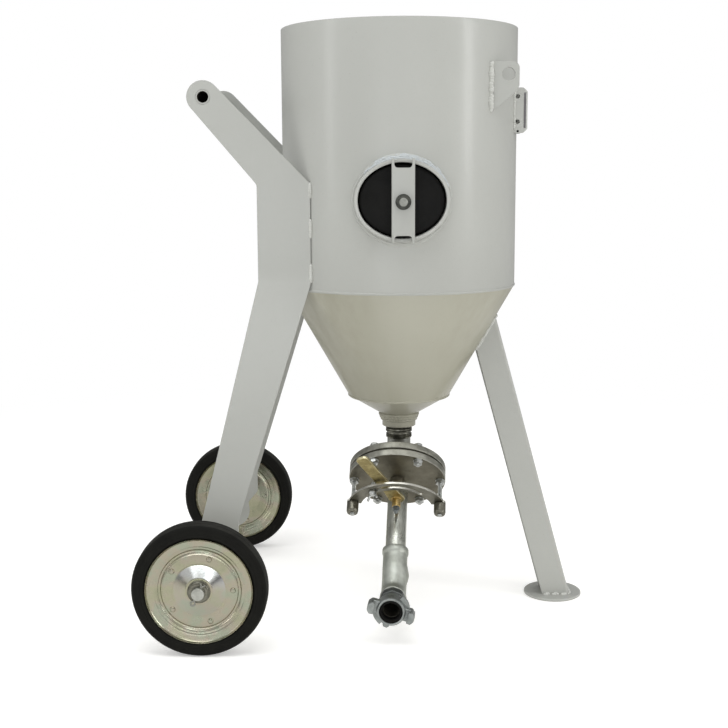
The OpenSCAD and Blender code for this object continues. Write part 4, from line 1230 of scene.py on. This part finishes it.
def build_valve():
    nipple = Part()
    profile = [(20, 312.3), (24.4, 312.3), (25, 313.4), (25, 352), (27.2, 353.4)]
    for z in (355.6, 358.2, 360.8):
        profile += [(27.9, z), (26.2, z + 1.3)]
    profile += [(25.2, 363.6), (25.2, 366.0), (28.2, 366.8), (28.3, 368.6), (27.0, 369.6), (28.3, 370.8),
                (28.0, 373.2)]
    for z in (374.4, 377.0, 379.6, 382.2):
        profile += [(24.4, z), (25.1, z + 1.3)]
    profile += [(24.2, 402.3), (20, 402.3)]
    nipple.add(lathe(profile, 96), VALVE)
    body = nipple.make("outlet_nipple_body", "pot", [NIPPLE, NIPPLE_LOW], "outlet_nipple", "bare_steel")
    recolour(body, VALVE, 1, lambda c: c.z < 354)

    path = [(0, 0, 328.4), (0, 0, 327), (0, 0, 316), (0, 0, 314.3), (0, 0, 312), (0, 0, 304), (0, 0, 296)]
    down = Vector((0, -math.sin(PI / 4), -math.cos(PI / 4)))
    knee = Vector((0, 0, KNEE_Z))
    a, b = Vector((0, 0, 296)), knee + down * 13
    for w in (k / 9 for k in range(1, 9)):
        path.append((a * (1 - w) ** 2 + knee * 2 * w * (1 - w) + b * w * w)[:])
    path += [(knee + down * d)[:] for d in (13, 18, 21.9)]
    radii = [31.6, 32.8, 32.8, 31.2, 30, 30, 30] + [30.3] * 8 + [30, 30.6, 31.5]
    out, inn = path_rings(path, lambda i: radii[i], 64), path_rings(path, 20, 64)
    elbow = Part().add(loft(out + inn[::-1], closed=True), VALVE)
    elbow.add(weld(circle(30.6, 90, -32.0), 2.8, 100, True, 3.6), OUTLET)
    elbow.make("inlet_elbow_body", "pot", [CAST], "inlet_elbow", "fitting", sharp=50, even=False)

    for name, geo, replaced, mats in (
            ("valve_upper_flange", disc_geo(-32, -18), "valve_body", [STEEL, STEEL_BRIGHT_AND_RIM_HIGHLIGHT]),
            ("valve_spacer_ring", ring(100, 80, -17.95, -14.05, 0.3, 144), "valve_spacer",
             [BLACK_STEEL, BLACK_STEEL]),
            ("valve_lower_flange", disc_geo(-14, 0), "valve_plate", [STEEL, STEEL_BRIGHT_AND_RIM_HIGHLIGHT])):
        part = Part().add(geo, DISC)
        if replaced == "valve_plate":
            boss = soften([(6.4, -1), (15.6, -1), (15.2, 2), (14.6, 8), (13.6, 9), (7.4, 9), (6.4, 8.2)],
                          0.6, 2)
            part.add(lathe(boss, 48), DISC)
            part.add(weld(circle(PIPE_R + 1.4, 90, 0.7), 2.5, 101, True, 3.2), OUTLET)
        obj = part.make(name, "pot", mats, replaced, "bare_steel")
        # The rims take the lighter steel as painted highlight.
        recolour(obj, DISC, 1, lambda c: math.hypot(c.x, c.y) > FLANGE_R - 1)

    bolts, nuts = Part(), Part()
    for a in BOLTS:
        spot = DISC @ turn(a, "Z") @ move(BOLT_R, 0, 0) @ turn(-a + 7 * (a % 7), "Z")
        bolts.add(hexagon(17, -38.8, -32.2, 0, high=False), spot)
        bolts.add(ring(9.6, 5.0, -33.0, -32.05, 0.3, 40), spot)
        bolts.add(thread(5.0, 1.5, -31, 12.4, 24), spot)
        nuts.add(ring(10, 5.1, 0.05, 1.6, 0.3, 40), spot)
        nuts.add(hexagon(17, 1.6, 8.4, 5.05), spot)
    for s in (-1, 1):
        spot = DISC @ move(s * BOLT_R, 0, 0) @ turn(11 * s, "Z")
        nuts.add(ring(10, 4.6, 0.05, 1.6, 0.3, 40), spot)
        nuts.add(hexagon(17, 1.6, 8.4, 4.55), spot)
    bolts.make("flange_bolt_set", "pot", [ZINC], "flange_bolts", "zinc")
    nuts.make("flange_nut_set", "pot", [ZINC], "flange_nuts", "zinc")
    studs, bushes = Part(), Part()
    for s in (-1, 1):
        spot = DISC @ move(s * BOLT_R, 0, 0)
        studs.add(hexagon(17, -38.8, -32.2, 0, high=False), spot)
        studs.add(thread(4.5, 1.25, -31, 86, 24), spot)
        studs.add(hexagon(13, 45.4, 51.6, 4.5), spot @ turn(20, "Z"))
        bush = soften([(4.6, 57.2), (11.4, 57.2), (12.3, 58.4), (12.3, 76.5), (11.0, 80.8), (9.2, 82.2),
                       (4.6, 82.2)],
                      0.7, 2)
        bushes.add(lathe(bush, 48), spot)
    studs.make("sector_stud_set", "pot", [ZINC], "sector_bolts", "zinc")
    bushes.make("sector_bush_set", "pot", [SECTOR], "sector_bushes", "bare_steel")

    def band(r, a0, a1, n):
        return [(x, y - 21.5) for x, y, _ in circle(r, n, 0, a0, a1)]
    outline = [(74.6, -2.0), (78.6, -2.0)] + flat_circle(BOLT_R, 0, 12.5, 26, 189, 360 + 45)[1:]
    outline += band(103, 17.2, 162.8, 76) + flat_circle(-BOLT_R, 0, 12.5, 26, 135, 351)[:-1]
    outline += [(-78.6, -2.0), (-74.6, -2.0)] + band(76, 165.4, 14.6, 66)
    half = 50.8

    def slot_end(way):
        (x, y), = arc(0, 0, SLOT_R, [90 + way * half])
        start = 90 + way * half - (0 if way > 0 else 180)
        return arc(x, y, 4.6, [start + 18 * k for k in range(1, 10)])
    slot = flat_circle(0, 0, 72.1, 46, 90 - half, 90 + half) + slot_end(1)
    slot += flat_circle(0, 0, 62.9, 46, 90 + half, 90 - half) + slot_end(-1)
    body = Part().add(plate(outline, 52, 57, 0.7, (slot,)), DISC).make(
        "lever_sector", "pot", [SECTOR, SECTOR_EDGE_HIGHLIT], "sector", "bare_steel")
    edge_faces(body, DISC)


def build_outlet():
    pipe = Part().add(lathe(soften([(18, 0.1), (PIPE_R, 0.1), (PIPE_R, 136), (20.2, 160.7), (18, 160.7)],
                                   [0.3, 0.3, 0, 0.8, 0.8], 2), 72), OUTLET)
    for k in range(5):
        z = 131.6 + 2.3 * k
        pipe.add(lathe(soften([(19.8, z - 1.1), (21.5 - 0.08 * k, z), (19.8, z + 1.1)], 0.2, 2), 64), OUTLET)
    pipe.make("outlet_pipe_tube", "pot", [GALV], "outlet_pipe", "zinc")

    n = 64
    down = Vector((0, math.sin(PI / 4), math.cos(PI / 4)))
    stations = [(100, 24.6), (99.6, 26.4), (97.6, 27.3), (91, 27.4), (88.2, 27.2), (86.2, 25.8), (83, 25.4),
                (74, 25.4), (64, 25.4), (52, 25.4), (40, 25.3), (28, 25.2)]
    path, radii = [tuple(down * s) for s, _ in stations], [r for _, r in stations]
    a, b = down * 20, Vector((0, -17, 0))
    for k in range(9):
        w = k / 8
        path.append(tuple(a * (1 - w) ** 2 + b * w * w))
        radii.append(25.5)
    for s, r in ((21, 25.6), (23.5, 26.6), (25.5, 27.2), (32.5, 27.2), (34.4, 26.6), (35, 25.4)):
        path.append((0, -s, 0))
        radii.append(r)
    out = path_rings(path, lambda i: radii[i], n)
    bores = [21.3 if (Vector(p).length > 80 and p[1] > 0) else 18 if p[1] > -15 else 20.6 for p in path]
    inn = path_rings(path, lambda i: bores[i], n)
    for i, loop in enumerate(out[:12]):
        s = stations[i][0]
        lump = math.exp(-((s - 40) / 14) ** 4)
        mid = Vector(path[i])
        for k, p in enumerate(loop):
            d = (p - mid).normalized()
            loop[k] = p + d * (4.6 * lump * max(0, d.x) ** 4)
    body = Part().add(loft(out + inn[::-1], closed=True), BEND)
    body.make("outlet_elbow_body", "pot", [CAST], "outlet_elbow", "fitting", sharp=60, even=False)

    part = Part()
    part.add(lathe(soften([(16, 15.2), (20.5, 15.2), (20.5, 39), (16, 39)], 0.4, 2), 48), COUPLE)
    rows = []
    for z, r in ((36, 24.6), (37, 26.2), (38.6, 27.4), (54.5, 27.6), (57, 26.6), (58.5, 24.2)):
        rows.append([(r * c * math.cos(2 * PI * i / n), r * c * math.sin(2 * PI * i / n), z)
                     for i in range(n)
                     for c in (min(1.0, 0.955 / math.cos((2 * PI * i / n) % (PI / 4) - PI / 8)),)])
    bore = [circle(16, n, 58.5), circle(16, n, 36)]
    part.add(loft(rows + bore, closed=True), COUPLE)
    bell = soften([(16, 56), (23.4, 56), (23.6, 60), (25.4, 72), (29.3, 82), (29.4, 86), (28.6, 104.6),
                   (27.4, 107.4),
                   (25.2, 108), (23.6, 107.4), (22.9, 106), (22.9, 88), (16, 88)],
                  [0.4, 0.6, 2, 4, 2, 1, 1, 1, 1, 0.6, 0.4, 0.4, 0.4], 3)
    part.add(lathe(bell, 96), COUPLE, 1)
    lobe = soften([(-6, 20), (6, 20), (6.5, 31), (4, 35), (-4, 35), (-6.5, 31)], [1, 1, 2, 2.5, 2.5, 2], 4)
    part.add(plate(lobe, 84, 103, 1.8, steps=3), COUPLE @ turn(160, "Z"), 1)
    for s in (0, 180):
        claw = COUPLE @ turn(s - 15, "Z")
        foot_out = soften([(24, -13), (41, -13), (47.4, -6), (47.4, 6), (41, 13), (24, 13)],
                          [1, 6, 6, 6, 6, 1], 5)
        part.add(plate(foot_out, 86, 101, 2.2, steps=3), claw, 1)
        wall_out = soften([(37.5, -12.5), (41, -12.5), (47.4, -6), (47.4, 6), (41, 12.5), (37.5, 12.5)],
                          [1, 5, 6, 6, 5, 1], 5)
        part.add(plate(wall_out, 97, 113.5, 1.6, steps=3), claw, 1)
        lip = soften([(33.4, -11), (42, -12), (47, -5), (47, 5), (42, 12), (33.4, 11)], [2, 4, 5, 5, 4, 2], 4)
        part.add(plate(lip, 109.6, 115.8, 1.6, steps=3), claw, 1)
        cam = flat_circle(0, 0, 37, 24, 16, 66) + flat_circle(0, 0, 27, 24, 70, 12)
        part.add(plate(soften(cam, 1.2, 2), 86.4, 97.6, 1.4, steps=3), claw, 1)
    obj = part.make("claw_coupling_body", "pot", [CLAW_DARK, CLAW, BORE_SCALE_AND_SHADE], "claw_coupling", "fitting",
                    sharp=50)
    # Coupling bore: near-black bore material, partly painted shade.
    recolour(obj, COUPLE, 2, lambda c: math.hypot(c.x, c.y) < 22.95 and 16 < c.z < 106)
    seal = soften([(17, 88.2), (22.8, 88.2), (22.8, 104), (21.6, 106.6), (19.4, 106.8), (18.2, 105),
                   (17, 103)],
                  [0.5, 0.5, 2, 2, 2, 2, 1], 3)
    Part().add(lathe(seal, 72), COUPLE).make("coupling_seal_ring", "pot", [RUBBER], "coupling_seal", "rubber")


# ------------------------------------------------------------------ metering valve, moving parts

def build_moving():
    fan = arc(0, 0, 16, range(0, 181, 12)) + arc(0, 0, 78, range(212, 349, 5))
    Part().add(plate(fan, -17.6, -14.4, 0.3, (flat_circle(0, -PORT, 16, 40), flat_circle(0, 0, 6.3, 24))),
               DISC).make(
        "orifice_disc", "valve_lever", [STEEL_BRIGHT_AND_RIM_HIGHLIGHT], "orifice_plate", "bare_steel")
    part = Part()
    part.add(lathe(soften([(0, -26), (6.25, -26), (6.25, 66), (4, 66), (4, 67)], [0, 0.6, 0.3, 0, 0], 2,
                          closed=False)
                   + [(0, 67)], 40, False), DISC)
    part.add(thread(4.0, 1.25, 66, 80, 24), DISC, 1)
    part.make("lever_spindle", "valve_lever", [BRASS_WORN, NUT_GREY], "spindle", "brass")
    length = 172
    arm = soften([(-13, 60), (-13, length - 1), (13, length - 1), (13, 60), (16.4, 4)], [20, 9, 9, 20, 0], 6)
    arm = arm + flat_circle(0, 0, 17, 26, 12, -192) + [(-16.4, 4)]
    arm = [p for i, p in enumerate(arm) if i == 0 or math.dist(p, arm[i - 1]) > 0.4]
    tilt = turn(22.6, "Z")
    bar = Part().add(plate(arm, 40, 46, 1.1, (flat_circle(0, 0, 6.3, 32),), 3), DISC @ tilt)
    boss = soften([(6.3, 45.6), (9.8, 45.6), (9.2, 47.6), (9, 64.8), (8, 66), (6.3, 66)], 0.5, 2)
    bar.add(lathe(boss, 40), DISC, 1)
    bar.add(weld(circle(9.6, 40, 46.4), 1.5, 110, True, 2.4), DISC, 1)
    body = bar.make("valve_lever_bar", "valve_lever", [BRASS, BRASS_WORN, BRASS_EDGE_HIGHLIT], "lever", "brass")
    edge_faces(body, DISC)
    nut = Part().add(hexagon(13, 67.2, 74.0, 4.03), DISC @ turn(13, "Z"))
    nut.add(ring(8.0, 4.1, 66.05, 67.2, 0.25, 36), DISC)
    nut.make("spindle_lock_nut", "valve_lever", [NUT_GREY], "spindle_nut", "zinc")

    stop = DISC @ turn(44, "Z") @ move(0, SLOT_R, 0)
    part = Part()
    part.add(thread(4.0, 1.25, 36, 60, 24), stop)
    part.add(hexagon(13, 46, 51.7, 0), stop)
    part.add(lathe(soften([(0, 57.3), (8, 57.3), (8, 61), (5.4, 66.3), (0, 66.3)], [0, 0.6, 1.5, 1.5, 0], 2,
                          False),
                   36, False), stop)
    for s in (-1, 1):
        wing = [(0, -3.4, 60), (s * 5, -2.8, 62.5), (s * 9.5, -2.2, 67), (s * 12.6, -2.0, 72.6),
                (s * 13.4, -1.9, 75.8)]
        rings = []
        for (x, t, z), half in zip(wing, (4.6, 3.9, 3.2, 3.4, 2.2)):
            rings.append([(x + half * 0.75 * math.cos(2 * PI * i / 16) * s,
                           -t * math.sin(2 * PI * i / 16) * 0.9,
                           z - half * 0.55 * math.cos(2 * PI * i / 16)) for i in range(16)])
        part.add(loft(rings), stop)
    part.make("stop_wing_bolt", "lever_stop", [ZINC], "stop_bolt", "zinc", sharp=50)


# ------------------------------------------------------------------ studio

def build_studio():
    bm = bmesh.new()
    bmesh.ops.create_grid(bm, x_segments=40, y_segments=40, size=30)
    mesh = bpy.data.meshes.new("floor")
    bm.to_mesh(mesh)
    bm.free()
    floor = link(mesh, "floor")
    mat = bpy.data.materials.new("floor_white")
    tree = cleared(mat)
    out = tree.nodes.new("ShaderNodeOutputMaterial")
    far = vectors(tree, "LENGTH", place_of(tree))
    blend = ranged(tree, far, 0.7, 2.6, interpolation_type="SMOOTHSTEP")
    seen = node(tree, "LightPath").outputs
    white = node(tree, "BsdfDiffuse", {"Color": (0.90, 0.89, 0.865, 1)}).outputs[0]
    fill = ranged(tree, seen["Is Camera Ray"], 0.0, 1.0, 0.10, 0.32)
    lit = node(tree, "Emission", {"Color": (1, 1, 1, 1), "Strength": fill}).outputs[0]
    near = node(tree, "AddShader", {0: white, 1: lit}).outputs[0]
    level = ranged(tree, seen["Is Camera Ray"], 0.0, 1.0, 0.80, 1.0)
    level = maths(tree, "SUBTRACT", level, maths(tree, "MULTIPLY", seen["Is Glossy Ray"], 0.45))
    glow = node(tree, "Emission", {"Color": (1, 1, 1, 1), "Strength": level}).outputs[0]
    tree.links.new(node(tree, "MixShader", {0: blend, 1: near, 2: glow}).outputs[0], out.inputs[0])
    mesh.materials.append(mat)

    world = bpy.data.worlds.new("studio")
    SCENE.world = world
    tree = cleared(world)
    out = tree.nodes.new("ShaderNodeOutputWorld")
    split = node(tree, "SeparateXYZ", {0: node(tree, "TexCoord").outputs["Generated"]})
    ramp = node(tree, "ValToRGB", {0: split.outputs[2]})
    ramp.color_ramp.elements[0].position, ramp.color_ramp.elements[0].color = 0.0, (1, 1, 1, 1)
    ramp.color_ramp.elements[1].position, ramp.color_ramp.elements[1].color = 1.0, (0.95, 0.97, 1.0, 1)
    for spot, value in ((0.17, 1.0), (0.30, 0.62), (0.62, 0.60), (0.80, 0.92)):
        ramp.color_ramp.elements.new(spot).color = (value, value, value, 1)
    behind = ranged(tree, split.outputs[1], -0.5, 0.75, 0.0, 0.68, interpolation_type="SMOOTHSTEP")
    dim = maths(tree, "MULTIPLY", behind, node(tree, "LightPath").outputs["Is Glossy Ray"])
    power = maths(tree, "SUBTRACT", 1.0, dim)
    back = node(tree, "Background", {"Color": ramp.outputs[0], "Strength": power}).outputs[0]
    tree.links.new(back, out.inputs[0])

    for name, spot, target, size, power, color in (
            ("front_left", (-0.98, -4.2, 1.0), (0, 0, 0.6), (1.40, 1.3), 3.4, (1, 1, 1)),
            ("front_right", (1.22, -4.2, 1.0), (0, 0, 0.6), (1.50, 1.3), 4.2, (1, 1, 1)),
            ("front_strip", (-0.40, -4.1, 0.68), (0, 0, 0.4), (2.2, 0.44), 8.8, (0.90, 0.95, 1)),
            ("top_box", (-0.4, -1.2, 3.4), (0.0, 0, 0.7), (2.6, 1.4), 29, (0.97, 0.99, 1)),
            ("left_box", (-3.4, -1.4, 1.8), (0, 0, 0.9), (0.6, 2.0), 13, (1, 1, 1)),
            ("right_box", (3.6, -1.6, 1.8), (0, 0, 0.9), (0.7, 2.0), 29, (1, 1, 1)),
            ("low_warm", (0.5, -1.7, 0.06), (0.05, 0, 0.5), (1.8, 0.35), 1.5, (1, 0.93, 0.80))):
        data = bpy.data.lights.new(name, "AREA")
        data.shape, data.energy, data.color = "RECTANGLE", power, color
        data.size, data.size_y = size
        lamp = bpy.data.objects.new(name, data)
        SCENE.collection.objects.link(lamp)
        lamp.location = spot
        lamp.rotation_euler = (Vector(target) - Vector(spot)).to_track_quat("-Z", "Y").to_euler()
        if name == "low_warm":
            lamp.visible_camera = False
            lamp.visible_glossy = False


build_vessel()
build_air_line()
build_hatch()
build_rear()
build_axle()
build_wheel(-1, "right")
build_wheel(1, "left")
build_front()
build_lugs()
build_valve()
build_outlet()
build_moving()
build_studio()
